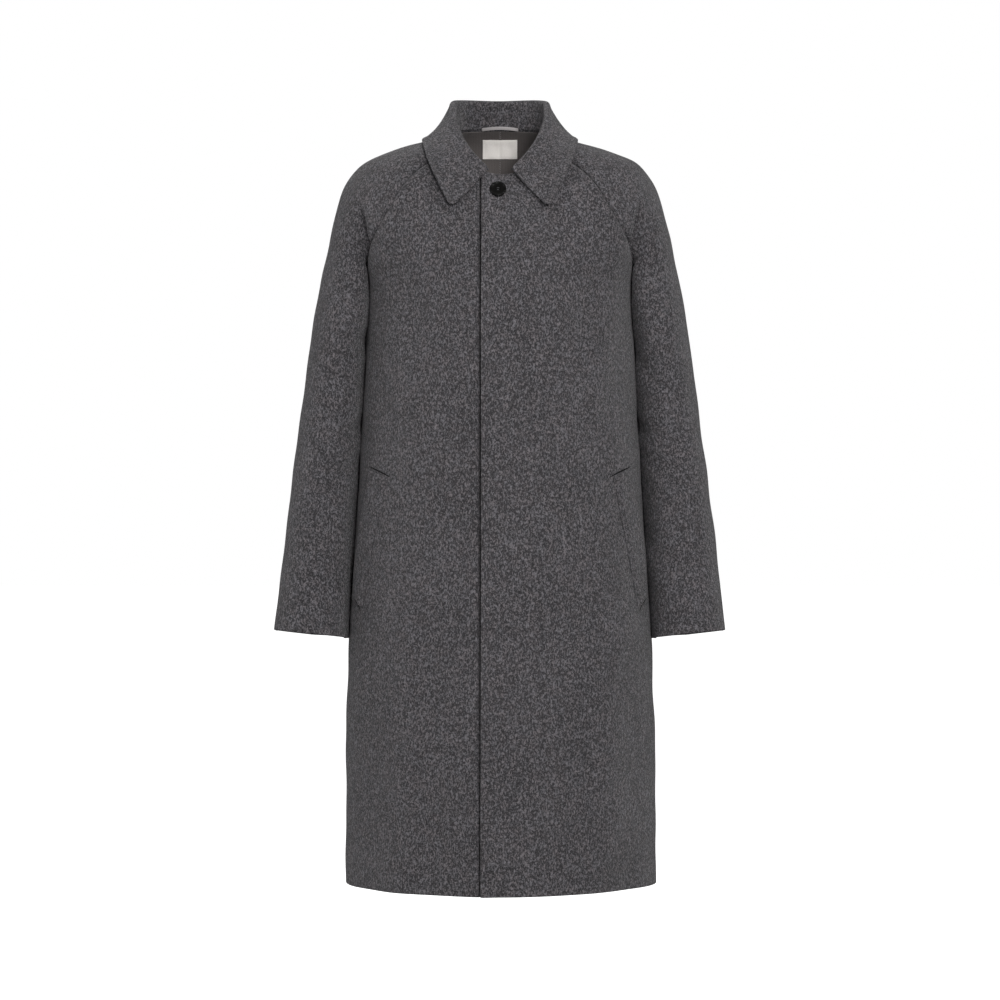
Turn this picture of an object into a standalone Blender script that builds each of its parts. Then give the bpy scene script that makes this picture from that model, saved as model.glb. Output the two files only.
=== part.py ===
"""Knee-length raglan overcoat in charcoal cashmere, buttoned at the neck and hollow.

Metres, +Z up. The front faces -Y and the wearer's left is +X. The origin lies midway
between the points where the shoulders meet the collar, and the shoulders carry the coat.
Every panel is a wall of cloth on sections worked out from the tables below. Panels are
made for the wearer's left, with rows running up and columns running left to right as
seen from outside, and are mirrored for the right.
"""

import math
from collections import namedtuple

import bmesh
import bpy
import numpy as np
from mathutils import Vector
from mathutils.bvhtree import BVHTree

# Cloth
CLOTH = 0.0025
COLLAR_CLOTH = 0.0028
FACING_CLOTH = 0.0010
LABEL_CLOTH = 0.0006
SEAM_GAP = 0.0003
SEAM_RUNS_ON = 0.5  # least agreement of two panels' normals for a flat seam

# Front opening: the left front laps over the right
LAP = 0.0270
UNDERLAP = 0.0300
LAP_RAMP = 0.0450

# Slanted welt pockets, on the cloth measured round from the centre front
WELT_LENGTH = 0.196
WELT_WIDTH = 0.042
WELT_SLANT = math.radians(16.0)
WELT_TOP_GIRTH = 0.1750
WELT_TOP_Z = -0.4950
WELT_LIFT = 0.0006
WELT_GAPE = 0.0030

# Button
BUTTON_RADIUS = 0.0120
BUTTON_HEIGHT = 0.0042
BUTTON_RIM = 0.0026
BUTTON_DISH = 0.0012
BUTTON_HOLE_RADIUS = 0.0011
BUTTON_HOLE_SPREAD = 0.0024
BUTTON_X = -0.0030
BUTTON_Z = -0.0790

# Inside the neck
FACING_FROM = 4  # step of the yoke where the facing's lower edge lies
FACING_TOP_GAP = 0.0010
LABEL_WIDTH = 0.0520
LABEL_HEIGHT = 0.0270
LABEL_DROP = 0.0150
LABEL_LIFT = 0.0005
LOOP_SPAN = 0.0540
LOOP_HEIGHT = 0.0050
LOOP_CLOTH = 0.0012
LOOP_LIFT = 0.0036
LOOP_DROP = 0.0045
LOOP_BOW = 0.0095
LOOP_ARCH = 0.0020

# Body sections from hem to neck. The centre is on the front or back centre line, the side
# is on the side seam and then on the raglan seam, and turn is how far the cloth has
# turned, in degrees, when it gets there. Full says how square the section is: 0.55 is
# an ellipse and 1 is a box.
BodySection = namedtuple(
    "BodySection", "place centre_y centre_z side_x side_y side_z turn full"
)
FRONT = (
    BodySection("hem", -0.172, -1.093, 0.2285, 0.010, -1.090, 90, 0.50),
    BodySection("knee", -0.166, -0.860, 0.2265, 0.010, -0.860, 90, 0.55),
    BodySection("wrist", -0.161, -0.728, 0.2230, 0.010, -0.728, 90, 0.60),
    BodySection("pocket", -0.156, -0.610, 0.2150, 0.010, -0.610, 90, 0.60),
    BodySection("waist", -0.151, -0.490, 0.2085, 0.010, -0.490, 90, 0.60),
    BodySection("ribs", -0.147, -0.365, 0.2005, 0.010, -0.365, 90, 0.60),
    BodySection("underarm", -0.142, -0.245, 0.1965, 0.012, -0.235, 90, 0.60),
    BodySection("fold", -0.137, -0.205, 0.1945, -0.033, -0.190, 80, 0.60),
    BodySection("armhole", -0.132, -0.177, 0.1905, -0.070, -0.158, 64, 0.60),
    BodySection("chest", -0.127, -0.154, 0.1795, -0.092, -0.1355, 44, 0.60),
    BodySection("yoke", -0.119, -0.125, 0.1600, -0.099, -0.1020, 31, 0.60),
    BodySection("shoulder", -0.109, -0.096, 0.1350, -0.092, -0.0630, 28, 0.60),
    BodySection("collar", -0.100, -0.074, 0.1080, -0.077, -0.0380, 36, 0.60),
    BodySection("neck", -0.090, -0.055, 0.0620, -0.052, -0.0120, 62, 0.60),
)
BACK = (
    BodySection("hem", 0.166, -1.093, 0.2285, 0.010, -1.090, 90, 0.50),
    BodySection("knee", 0.159, -0.860, 0.2265, 0.010, -0.860, 90, 0.55),
    BodySection("wrist", 0.154, -0.728, 0.2230, 0.010, -0.728, 90, 0.60),
    BodySection("pocket", 0.149, -0.610, 0.2150, 0.010, -0.610, 90, 0.60),
    BodySection("waist", 0.146, -0.490, 0.2085, 0.010, -0.490, 90, 0.60),
    BodySection("ribs", 0.147, -0.365, 0.2005, 0.010, -0.365, 90, 0.60),
    BodySection("underarm", 0.146, -0.240, 0.1965, 0.012, -0.235, 90, 0.60),
    BodySection("fold", 0.144, -0.192, 0.1950, 0.052, -0.200, 78, 0.60),
    BodySection("armhole", 0.141, -0.152, 0.1910, 0.084, -0.168, 62, 0.60),
    BodySection("chest", 0.136, -0.112, 0.1800, 0.105, -0.1350, 44, 0.60),
    BodySection("yoke", 0.127, -0.068, 0.1600, 0.112, -0.0950, 31, 0.60),
    BodySection("shoulder", 0.113, -0.024, 0.1320, 0.101, -0.0480, 28, 0.60),
    BodySection("collar", 0.097, 0.006, 0.1020, 0.080, -0.0100, 36, 0.60),
    BodySection("neck", 0.078, 0.028, 0.0600, 0.048, 0.0230, 62, 0.60),
)
UNDERARM = [section.place for section in FRONT].index("underarm")

# Sleeve sections from the cuff to the underarm: closed rings between the over-arm seam
# and the underarm seam.
ArmSection = namedtuple(
    "ArmSection", "place over_x over_y over_z under_x under_y under_z depth"
)
ARM = (
    ArmSection("cuff", 0.3325, -0.004, -0.7185, 0.2265, -0.003, -0.7305, 0.056),
    ArmSection("forearm", 0.3175, 0.010, -0.5850, 0.2180, 0.012, -0.6000, 0.062),
    ArmSection("elbow", 0.2970, 0.022, -0.4150, 0.2060, 0.022, -0.4350, 0.067),
    ArmSection("biceps", 0.2790, 0.026, -0.2850, 0.2000, 0.019, -0.3250, 0.072),
    ArmSection("underarm", 0.2645, 0.027, -0.1980, 0.1965, 0.012, -0.2350, 0.075),
)
# Sleeve sections from the underarm to the neck: open arches from the raglan seam to the
# over-arm seam. A reach is how far an end's direction carries, and follow says how much
# the sleeve runs on smoothly from the body instead of folding at the seam.
YokeSection = namedtuple(
    "YokeSection", "place over_x over_y over_z seam_reach over_reach follow"
)
YOKE = (
    YokeSection("underarm", 0.2645, 0.027, -0.1980, 0.100, 0.100, 0.0),
    YokeSection("fold", 0.2560, 0.024, -0.1610, 0.050, 0.096, 0.30),
    YokeSection("armhole", 0.2505, 0.021, -0.1360, 0.044, 0.096, 0.70),
    YokeSection("chest", 0.2435, 0.018, -0.1080, 0.042, 0.082, 1.0),
    YokeSection("yoke", 0.2310, 0.014, -0.0680, 0.044, 0.062, 1.0),
    YokeSection("shoulder", 0.2010, 0.009, -0.0300, 0.044, 0.052, 1.0),
    YokeSection("collar", 0.1500, 0.004, -0.0110, 0.034, 0.040, 1.0),
    YokeSection("neck", 0.0730, 0.000, 0.0120, 0.018, 0.020, 1.0),
)
CUFF_LEAN = 0.06  # rise of the cuff's front against its depth
ARMPIT_EASE = (9, 20, 12)  # first row, row past the last, and times evened out
EASE_TOWARDS = 0.50
EASE_BACK = -0.51
ARM_CLEARANCE = 0.0040
ARM_CLEARANCE_SLOPE = 0.06

# Collar sections from centre back to the front end: the roll where it turns over, the
# outer edge of the fall, and the angle round the neck where the section is sewn in.
CollarSection = namedtuple(
    "CollarSection", "place roll_x roll_y roll_z edge_x edge_y edge_z radius seam_turn"
)
COLLAR = (
    CollarSection("back", 0.000, 0.069, 0.0700, 0.0000, 0.1030, 0.0075, 0.0060, 180),
    CollarSection("side back", 0.042, 0.059, 0.0695, 0.0690, 0.0940, 0.0062, 0.0060, 138),
    CollarSection("shoulder", 0.063, 0.026, 0.0640, 0.1060, 0.0450, 0.0050, 0.0060, 106),
    CollarSection("side", 0.064, -0.012, 0.0420, 0.1150, -0.0180, 0.0025, 0.0055, 80),
    CollarSection("side front", 0.055, -0.047, 0.0100, 0.1057, -0.0810, -0.0345, 0.0050, 54),
    CollarSection("front", 0.038, -0.073, -0.0200, 0.0893, -0.1045, -0.0715, 0.0045, 32),
    CollarSection("point", 0.0175, -0.0905, -0.0440, 0.0715, -0.1220, -0.1075, 0.0040, 11),
)
COLLAR_LIFT = 0.0014
FALL_SPREAD = 0.20  # the part of the fall's spread that lies near the roll
FALL_HANG = 0.0060  # how far the fall hangs before it spreads
STAND_SHARE = 0.60  # the part of the rise from seam to roll that is the stand
ROLL_TURNS = (45, 90, 135)  # degrees turned at each row over the roll

# Mesh rows and columns
SKIRT_STEPS = (2, 2, 1, 1, 2, 2)
YOKE_STEPS = (2, 1, 1, 2, 2, 2, 2)
ARM_STEPS = (2, 3, 3, 4)
FRONT_COLUMNS = 14
BACK_COLUMNS = 11
SLEEVE_COLUMNS = 11
COLLAR_STEPS = (2, 3, 3, 3, 3, 2)
FALL_ROWS = 6
WELT_ROWS = 11
WELT_COLUMNS = 6
LABEL_ROWS = 5
LABEL_COLUMNS = 7
LOOP_COLUMNS = 13
BUTTON_SIDES = 28
HOLE_SIDES = 8

FINE = 200  # points along a curve when a place on it is looked for
NEARBY = 0.02  # a small step along a table of sections
FAR = 1.0  # from outside the coat

SHARP_EDGE = math.radians(50)
MIRROR = np.array((-1, 1, 1))

# Colours, linear
CHARCOAL = (0.074, 0.073, 0.078, 1.0)
LINING = (0.060, 0.053, 0.049, 1.0)
HORN = (0.006, 0.006, 0.006, 1.0)
WHITE_TAPE = (0.680, 0.650, 0.620, 1.0)
GREY_TAPE = (0.260, 0.245, 0.245, 1.0)


def clear_scene():
    """Removes whatever the scene starts with."""
    for thing in list(bpy.data.objects):
        bpy.data.objects.remove(thing)


def material(name, colour, roughness):
    """A plain finish for one kind of piece."""
    made = bpy.data.materials.new(name)
    made.use_nodes = True
    shader = made.node_tree.nodes["Principled BSDF"]
    shader.inputs["Base Color"].default_value = colour
    shader.inputs["Roughness"].default_value = roughness
    shader.inputs["Metallic"].default_value = 0.0
    return made


def stations(steps, first=0):
    """Places along a table, each step between two sections cut into that many rows."""
    cuts = [np.arange(count) / count + first + i for i, count in enumerate(steps)]
    return np.concatenate(cuts + [[first + len(steps)]])


def smooth(values, at):
    """A curve through evenly spaced values that never overshoots them, read at places."""
    values = np.asarray(values, float)
    rise = np.diff(values)
    slope = np.zeros(len(values))
    slope[0], slope[-1] = rise[0], rise[-1]
    product = rise[:-1] * rise[1:]
    total = rise[:-1] + rise[1:]
    bends = product > 0
    slope[1:-1][bends] = 2 * product[bends] / total[bends]
    left = np.clip(np.floor(at).astype(int), 0, len(values) - 2)
    u = at - left
    eased = u * u * (3 - 2 * u)
    lead = u * (1 - u) * (1 - u)
    tail = u * u * (u - 1)
    level = values[left] * (1 - eased) + values[left + 1] * eased
    return level + lead * slope[left] + tail * slope[left + 1]


def sections_at(table, places):
    """The table's sections worked out at any places between its rows."""
    kind = type(table[0])
    columns = [smooth(column, places) for column in list(zip(*table))[1:]]
    return [kind("between", *values) for values in zip(*columns)]


def cubic(start, start_handle, end_handle, end, t):
    """Points of a Bezier curve at the places t."""
    t = np.asarray(t, float)[:, None]
    rest = 1 - t
    near = rest**3 * np.asarray(start) + 3 * rest**2 * t * np.asarray(start_handle)
    return near + 3 * rest * t**2 * np.asarray(end_handle) + t**3 * np.asarray(end)


def body_handles(section):
    """The four Bezier points of one body section, from the centre line to the side."""
    turn = math.radians(section.turn)
    across = section.side_y - section.centre_y
    tail = abs(across) / math.sin(turn)
    lead = section.side_x - tail * math.cos(turn)
    rise = section.side_z - section.centre_z
    heading = np.array((math.cos(turn), math.copysign(math.sin(turn), across), 0))
    centre = np.array((0, section.centre_y, section.centre_z))
    side = np.array((section.side_x, section.side_y, section.side_z))
    leaving = centre + np.array((section.full * lead, 0, 0))
    arriving = side - section.full * tail * heading
    arriving[2] = section.centre_z + rise / 3
    return centre, leaving, arriving, side


def body_row(section, t):
    """One section's points; negative t runs past the centre line onto the other half."""
    t = np.asarray(t, float)
    points = cubic(*body_handles(section), np.abs(t))
    points[:, 0] *= np.where(t < 0, -1, 1)
    return points


def place_at(section, x):
    """The place t where a section comes to x."""
    t = np.linspace(0, 1, FINE)
    return np.interp(x, body_row(section, t)[:, 0], t)


def normals_of(grid):
    """Outward normals of a grid of points, rows up and columns left to right."""
    up = np.gradient(grid, axis=0, edge_order=2)
    across = np.gradient(grid, axis=1, edge_order=2)
    normal = np.cross(across, up)
    return normal / np.linalg.norm(normal, axis=2, keepdims=True)


def mirrored(grid):
    """The same panel for the wearer's right."""
    return grid[:, ::-1] * MIRROR


def drawn_back(grid, left=0.0, right=0.0, bottom=0.0, top=0.0):
    """The grid with its edges moved back along its own lines."""
    made = grid.copy()
    for edge, inner, distance in (
        (np.s_[:, 0], np.s_[:, 1], left),
        (np.s_[:, -1], np.s_[:, -2], right),
        (np.s_[0], np.s_[1], bottom),
        (np.s_[-1], np.s_[-2], top),
    ):
        way = made[inner] - made[edge]
        length = np.linalg.norm(way, axis=1, keepdims=True)
        made[edge] += way / length * distance
    return made


def wall(name, outer, inner, finish):
    """A closed wall of cloth between two grids of points, as one named object."""
    rows, columns = outer.shape[:2]
    shape = bmesh.new()
    out, back = [
        [[shape.verts.new(point) for point in row] for row in grid]
        for grid in (outer, inner)
    ]
    for i in range(rows - 1):
        for j in range(columns - 1):
            ring = ((i, j), (i, j + 1), (i + 1, j + 1), (i + 1, j))
            shape.faces.new([out[a][b] for a, b in ring])
            shape.faces.new([back[a][b] for a, b in reversed(ring)])
    rim = [(0, j) for j in range(columns)]
    rim += [(i, columns - 1) for i in range(1, rows)]
    rim += [(rows - 1, j) for j in range(columns - 2, -1, -1)]
    rim += [(i, 0) for i in range(rows - 2, 0, -1)]
    for (a, b), (c, d) in zip(rim, rim[1:] + rim[:1]):
        shape.faces.new((out[c][d], out[a][b], back[a][b], back[c][d]))
    return named_object(name, shape, finish)


def named_object(name, shape, finish):
    """Turns a bmesh into an object with one material, shaded smooth between its edges."""
    bmesh.ops.triangulate(shape, faces=shape.faces)
    mesh = bpy.data.meshes.new(name)
    shape.to_mesh(mesh)
    shape.free()
    mesh.materials.append(finish)
    mesh.shade_smooth()
    mesh.set_sharp_from_angle(angle=SHARP_EDGE)
    made = bpy.data.objects.new(name, mesh)
    bpy.context.scene.collection.objects.link(made)
    return made


def cloth_wall(name, outer, finish, thickness=CLOTH, normals=None):
    """A wall of cloth behind a grid of its outer points."""
    if normals is None:
        normals = normals_of(outer)
    return wall(name, outer, outer - normals * thickness, finish)


def share_normals(first, first_edge, second, second_edge):
    """Gives two panels one normal along a seam wherever the cloth runs on over it."""
    near, far = first[first_edge], second[second_edge]
    mean = near + far
    runs_on = (near * far).sum(axis=1) > SEAM_RUNS_ON
    mean[runs_on] /= np.linalg.norm(mean[runs_on], axis=1, keepdims=True)
    near[runs_on] = mean[runs_on]
    far[runs_on] = mean[runs_on]


def tree_of(*grids):
    """A tree of the grids' faces, for finding what a piece rests on."""
    points, faces = [], []
    for grid in grids:
        rows, columns = grid.shape[:2]
        first = len(points)
        points += [Vector(point) for point in grid.reshape(-1, 3)]
        for i in range(rows - 1):
            for j in range(columns - 1):
                low = first + i * columns + j
                high = low + columns
                faces.append((low, low + 1, high + 1, high))
    return BVHTree.FromPolygons(points, faces)


def lifted(points, tree, lift):
    """Points moved out along the nearest surface's normal until they clear it by lift."""
    made = points.copy()
    for index in np.ndindex(points.shape[:-1]):
        point = Vector(points[index])
        place, normal, _, _ = tree.find_nearest(point)
        height = (point - place).dot(normal)
        if height < lift:
            made[index] = point + normal * (lift - height)
    return made


BODY_STATIONS = np.concatenate(
    [stations(SKIRT_STEPS)[:-1], stations(YOKE_STEPS, UNDERARM)]
)


def front_grid(overlap):
    """Outer points of the left front, out to overlap past the centre front."""
    rows = []
    for section in sections_at(FRONT, BODY_STATIONS):
        edge = place_at(section, overlap)
        rows.append(body_row(section, np.linspace(-edge, 1, FRONT_COLUMNS)))
    return np.array(rows)


def back_grid():
    """Outer points of the left back, from the side and raglan seams to centre back."""
    places = np.linspace(1, 0, BACK_COLUMNS)
    sections = sections_at(BACK, BODY_STATIONS)
    for index, front in enumerate(sections_at(FRONT, stations(SKIRT_STEPS))):
        sections[index] = sections[index]._replace(
            side_x=front.side_x, side_y=front.side_y, side_z=front.side_z
        )
    return np.array([body_row(section, places) for section in sections])


def under_left_front(grid):
    """The right front's points, sunk under the lap of the left front."""
    clear_of_lap = -LAP - grid[:, :, 0]
    share = np.clip(1 - clear_of_lap / LAP_RAMP, 0, 1)
    sunk = share * share * (3 - 2 * share) * (CLOTH + SEAM_GAP)
    return grid - normals_of(grid) * sunk[:, :, None]


def raglan_start(table, station, over, follow, side):
    """Where a sleeve section starts on the raglan seam, and the way it leaves it."""
    before, after = station - NEARBY, min(station + NEARBY, len(table) - 1)
    near, here, beyond = sections_at(table, np.array((before, station, after)))
    _, _, arriving, seam = body_handles(here)
    along = body_handles(beyond)[3] - body_handles(near)[3]
    normal = np.cross(seam - arriving, along) * -side
    normal /= np.linalg.norm(normal)
    smooth_way = over - seam
    smooth_way -= smooth_way.dot(normal) * normal
    smooth_way /= np.linalg.norm(smooth_way)
    fold_way = np.array((0, side, 0))
    way = smooth_way * follow + fold_way * (1 - follow)
    way /= np.linalg.norm(way)
    start = seam + normal * SEAM_GAP * (1 - follow)
    return start, way


def sleeve_half(side, table, body):
    """Outer points of half the left sleeve, side -1 in front and 1 behind."""
    places = np.linspace(0, 1, SLEEVE_COLUMNS)
    forward = np.array((0, side, 0))
    rows = []
    arm_stations = stations(ARM_STEPS)[:-1]
    for station, section in zip(arm_stations, sections_at(ARM, arm_stations)):
        over = np.array((section.over_x, section.over_y, section.over_z))
        under = np.array((section.under_x, section.under_y, section.under_z))
        lean = -side * CUFF_LEAN * (1 - station / len(ARM_STEPS))
        reach = (forward + (0, 0, lean)) * section.depth * 4 / 3
        rows.append(cubic(under, under + reach, over + reach, over, places))
    yoke_stations = stations(YOKE_STEPS)
    for station, section in zip(yoke_stations, sections_at(YOKE, yoke_stations)):
        over = np.array((section.over_x, section.over_y, section.over_z))
        start, way = raglan_start(
            table, station + UNDERARM, over, section.follow, side
        )
        start_handle = start + way * section.seam_reach
        end_handle = over + forward * section.over_reach
        rows.append(cubic(start, start_handle, end_handle, over, places))
    grid = eased(np.array(rows), *ARMPIT_EASE)
    for index in range(sum(ARM_STEPS)):
        below = grid[sum(ARM_STEPS), 0, 2] - grid[index, 0, 2]
        clearance = min(ARM_CLEARANCE, SEAM_GAP + ARM_CLEARANCE_SLOPE * below)
        grid[index] = beside(grid[index], body, clearance)
    return grid if side < 0 else grid[:, ::-1]


def eased(grid, first, last, times):
    """The grid evened out up and down between two rows, least near its seams.

    Each pass moves points towards their neighbours and then almost as far back, so that
    ripples go and the form stays.
    """
    made = grid.copy()
    middle = np.sin(np.linspace(0, math.pi, grid.shape[1]))[None, :, None]
    for share in (EASE_TOWARDS, EASE_BACK) * times:
        near = (made[first - 1 : last - 1] + made[first + 1 : last + 1]) / 2
        made[first:last] += (near - made[first:last]) * middle * share
    return made


def beside(ring, body, clearance):
    """A sleeve ring's points, kept just clear of the body's flank."""
    made = ring.copy()
    for index, (x, y, z) in enumerate(ring):
        flank = body.ray_cast(Vector((FAR, y, z)), Vector((-1, 0, 0)))[0]
        if flank is not None:
            made[index, 0] = max(x, flank.x + clearance)
    return made


def both_sides(name, left, normals, finish):
    """The left panel and its mirror image for the right."""
    cloth_wall(f"{name}_left", left, finish, normals=normals)
    cloth_wall(f"{name}_right", mirrored(left), finish, normals=mirrored(normals))


def coat_panels(cloth):
    """Fronts, backs and sleeves. Returns the outer grids that other pieces lie on."""
    over = front_grid(LAP)
    under = under_left_front(mirrored(front_grid(UNDERLAP)))
    back = back_grid()
    body = tree_of(over, back)
    sleeve_front = sleeve_half(-1, FRONT, body)
    sleeve_back = sleeve_half(1, BACK, body)

    over_out, under_out, back_out = normals_of(over), normals_of(under), normals_of(back)
    front_arm_out, back_arm_out = normals_of(sleeve_front), normals_of(sleeve_back)
    skirt = sum(SKIRT_STEPS) + 1
    arm = sum(ARM_STEPS) + 1
    share_normals(over_out, np.s_[:skirt, -1], back_out, np.s_[:skirt, 0])
    share_normals(front_arm_out, np.s_[:arm, 0], back_arm_out, np.s_[:arm, -1])
    share_normals(front_arm_out, np.s_[:, -1], back_arm_out, np.s_[:, 0])
    share_normals(over_out, np.s_[skirt - 1 :, -1], front_arm_out, np.s_[arm - 1 :, 0])
    share_normals(back_out, np.s_[skirt - 1 :, 0], back_arm_out, np.s_[arm - 1 :, -1])
    share_normals(back_out, np.s_[:, -1], mirrored(back_out), np.s_[:, 0])
    under_out[:, 0] = mirrored(over_out)[:, 0]

    half = SEAM_GAP / 2
    over = drawn_back(over, right=half)
    under = drawn_back(under, left=half)
    back = drawn_back(back, left=half, right=half)
    sleeve_front = drawn_back(sleeve_front, left=half, right=half)
    sleeve_back = drawn_back(sleeve_back, left=half, right=half)
    cloth_wall("front_left", over, cloth, normals=over_out)
    cloth_wall("front_right", under, cloth, normals=under_out)
    both_sides("back", back, back_out, cloth)
    both_sides("sleeve_front", sleeve_front, front_arm_out, cloth)
    both_sides("sleeve_back", sleeve_back, back_arm_out, cloth)
    return (over, under, back, sleeve_front, sleeve_back), back_out


def neckline():
    """The left half of the neck seam, from centre front round to centre back."""
    t = np.linspace(0, 1, FINE)
    front = cubic(*body_handles(FRONT[-1]), t)
    back = cubic(*body_handles(BACK[-1]), t)[::-1]
    halves = []
    for side, table in ((-1, FRONT), (1, BACK)):
        last = YOKE[-1]
        over = np.array((last.over_x, last.over_y, last.over_z))
        start, way = raglan_start(table, len(table) - 1, over, last.follow, side)
        handles = start + way * last.seam_reach, over + (0, side * last.over_reach, 0)
        halves.append(cubic(start, *handles, over, t))
    return np.concatenate([front, halves[0][1:], halves[1][::-1][1:], back[1:]])


def on_neckline(turns):
    """Points of the neck seam at angles round the neck, 0 and 360 at centre front."""
    left = neckline()
    line = np.concatenate([left, left[-2::-1] * MIRROR])
    angles = np.degrees(np.arctan2(line[:, 0], -line[:, 1])) % 360
    angles[-1] = 360
    return np.stack([np.interp(turns, angles, line[:, k]) for k in range(3)], axis=-1)


def collar_lines():
    """Seam, roll and edge lines of the collar from the left point round to the right."""
    right = [
        section._replace(
            roll_x=-section.roll_x, edge_x=-section.edge_x, seam_turn=360 - section.seam_turn
        )
        for section in COLLAR[1:]
    ]
    places = stations(COLLAR_STEPS[::-1] + COLLAR_STEPS)
    whole = sections_at(COLLAR[::-1] + tuple(right), places)
    seam = on_neckline(np.array([section.seam_turn for section in whole]))
    roll = np.array([(s.roll_x, s.roll_y, s.roll_z) for s in whole])
    edge = np.array([(s.edge_x, s.edge_y, s.edge_z) for s in whole])
    return seam, roll, edge, np.array([(s.radius,) for s in whole])


def between(near, far, share):
    """Points a share of the way from one line to another."""
    return near * (1 - share) + far * share


def collar(panels, cloth):
    """The stand rising from the neck seam, and the fall rolled over it."""
    over, under, back, sleeve_front, sleeve_back = panels
    left = (back, sleeve_front, sleeve_back)
    resting = tree_of(over, under, *left, *[mirrored(grid) for grid in left])
    seam, roll, edge, radius = collar_lines()
    up = np.array((0, 0, 1))
    outward = roll * (1, 1, 0)
    outward /= np.linalg.norm(outward, axis=1, keepdims=True)
    top = roll - up * radius
    stand_top = between(seam, top, STAND_SHARE)

    stand = np.array([between(seam, stand_top, share) for share in (0, 0.5, 1)])
    stand = drawn_back(stand, bottom=SEAM_GAP, top=SEAM_GAP / 2)
    cloth_wall("collar_stand", stand, cloth)

    rows = [between(stand_top, top, share) for share in (0, 0.5, 1)]
    for degrees in ROLL_TURNS:
        angle = math.radians(degrees)
        rise = up * math.sin(angle) + outward * (1 - math.cos(angle))
        rows.append(top + rise * radius)
    turned = top + outward * radius * 2
    hang = between(turned, edge, FALL_SPREAD) - up * FALL_HANG
    for share in np.linspace(0, 1, FALL_ROWS):
        near, far = between(turned, hang, share), between(hang, edge, share)
        rows.append(between(near, far, share))
    fall = np.array(rows[::-1])
    leaf = np.s_[: FALL_ROWS - 1]
    fall[leaf] = lifted(fall[leaf], resting, COLLAR_LIFT + COLLAR_CLOTH)
    fall = drawn_back(fall, top=SEAM_GAP / 2)
    cloth_wall("collar_fall", fall, cloth, COLLAR_CLOTH)


def flank_point(z, girth):
    """A point of the left flank at a height and a girth from centre front, and its normal.

    Past the side seam the girth runs on round the back.
    """
    dense = np.linspace(0, UNDERARM, FINE)
    station = np.interp(z, smooth([section.centre_z for section in FRONT], dense), dense)
    t = np.linspace(0, 1, FINE)
    points = []
    for place in (station - NEARBY, station + NEARBY, station):
        front, = sections_at(FRONT, np.array([place]))
        back, = sections_at(BACK, np.array([place]))
        line = np.concatenate([body_row(front, t), body_row(back, t[::-1])[1:]])
        steps = np.linalg.norm(np.diff(line, axis=0), axis=1)
        run = np.concatenate([[0], np.cumsum(steps)])
        for length in (girth, girth + CLOTH):
            points.append([np.interp(length, run, line[:, k]) for k in range(3)])
    below, _, above, _, here, onward = np.array(points)
    out = np.cross(onward - here, above - below)
    return here, out / np.linalg.norm(out)


def pocket_welts(cloth):
    """The pockets' welts, made from the flank's points moved out."""
    downs = np.linspace(WELT_LENGTH, 0, WELT_ROWS)
    widths = np.linspace(0, WELT_WIDTH, WELT_COLUMNS)
    slant, level = math.sin(WELT_SLANT), math.cos(WELT_SLANT)
    cloth_points = np.array([
        [
            flank_point(
                WELT_TOP_Z - down * level + wide * slant,
                WELT_TOP_GIRTH + down * slant + wide * level,
            )
            for wide in widths
        ]
        for down in downs
    ])
    surface, out = cloth_points[:, :, 0], cloth_points[:, :, 1]
    ends = np.sin(np.linspace(0, math.pi, WELT_ROWS))[:, None]
    gape = WELT_GAPE * ends * (widths / WELT_WIDTH)[None, :] ** 2
    inner = surface + out * (WELT_LIFT + gape)[:, :, None]
    outer = inner + out * CLOTH
    wall("pocket_welt_left", outer, inner, cloth)
    wall("pocket_welt_right", mirrored(outer), mirrored(inner), cloth)


def neck_inside(back, back_out, finishes):
    """The facing inside the back neck, its bare label and the hanger loop."""
    rows = np.s_[-1 - sum(YOKE_STEPS[FACING_FROM:]) :]
    half, half_out = back[rows, 1:], back_out[rows, 1:]
    whole = np.concatenate([half, mirrored(half)[:, 1:]], axis=1)
    whole_out = np.concatenate([half_out, mirrored(half_out)[:, 1:]], axis=1)
    whole = drawn_back(whole, top=FACING_TOP_GAP)
    sewn = whole - whole_out * (CLOTH + SEAM_GAP)
    wall("back_neck_facing", sewn, sewn - whole_out * FACING_CLOTH, finishes["lining"])

    inside = tree_of(sewn - whole_out * FACING_CLOTH)
    places = np.linspace(LABEL_WIDTH / 2, -LABEL_WIDTH / 2, LABEL_COLUMNS)
    levels = BACK[-1].centre_z - LABEL_DROP - np.linspace(LABEL_HEIGHT, 0, LABEL_ROWS)
    label = np.array([[within(inside, x, z) for x in places] for z in levels])
    label_out = normals_of(label)
    label = label - label_out * LABEL_LIFT
    wall("neck_label", label, label - label_out * LABEL_CLOTH, finishes["white tape"])

    along = np.linspace(1, -1, LOOP_COLUMNS)
    seam = body_row(BACK[-1], place_at(BACK[-1], np.abs(along) * LOOP_SPAN / 2))
    bow = 1 - along**2
    strip = np.zeros((3, len(along), 3))
    strip[:, :, 0] = along * LOOP_SPAN / 2
    strip[:, :, 1] = seam[:, 1] - LOOP_LIFT - LOOP_BOW * bow
    for row, height in enumerate((0, LOOP_HEIGHT / 2, LOOP_HEIGHT)):
        strip[row, :, 2] = BACK[-1].centre_z - LOOP_DROP + height + LOOP_ARCH * bow
    cloth_wall("hanger_loop", strip, finishes["grey tape"], LOOP_CLOTH)


def within(inside, x, z):
    """The point of the back's inner face straight behind x and z."""
    return np.array(inside.ray_cast(Vector((x, 0, z)), Vector((0, 1, 0)))[0])


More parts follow.
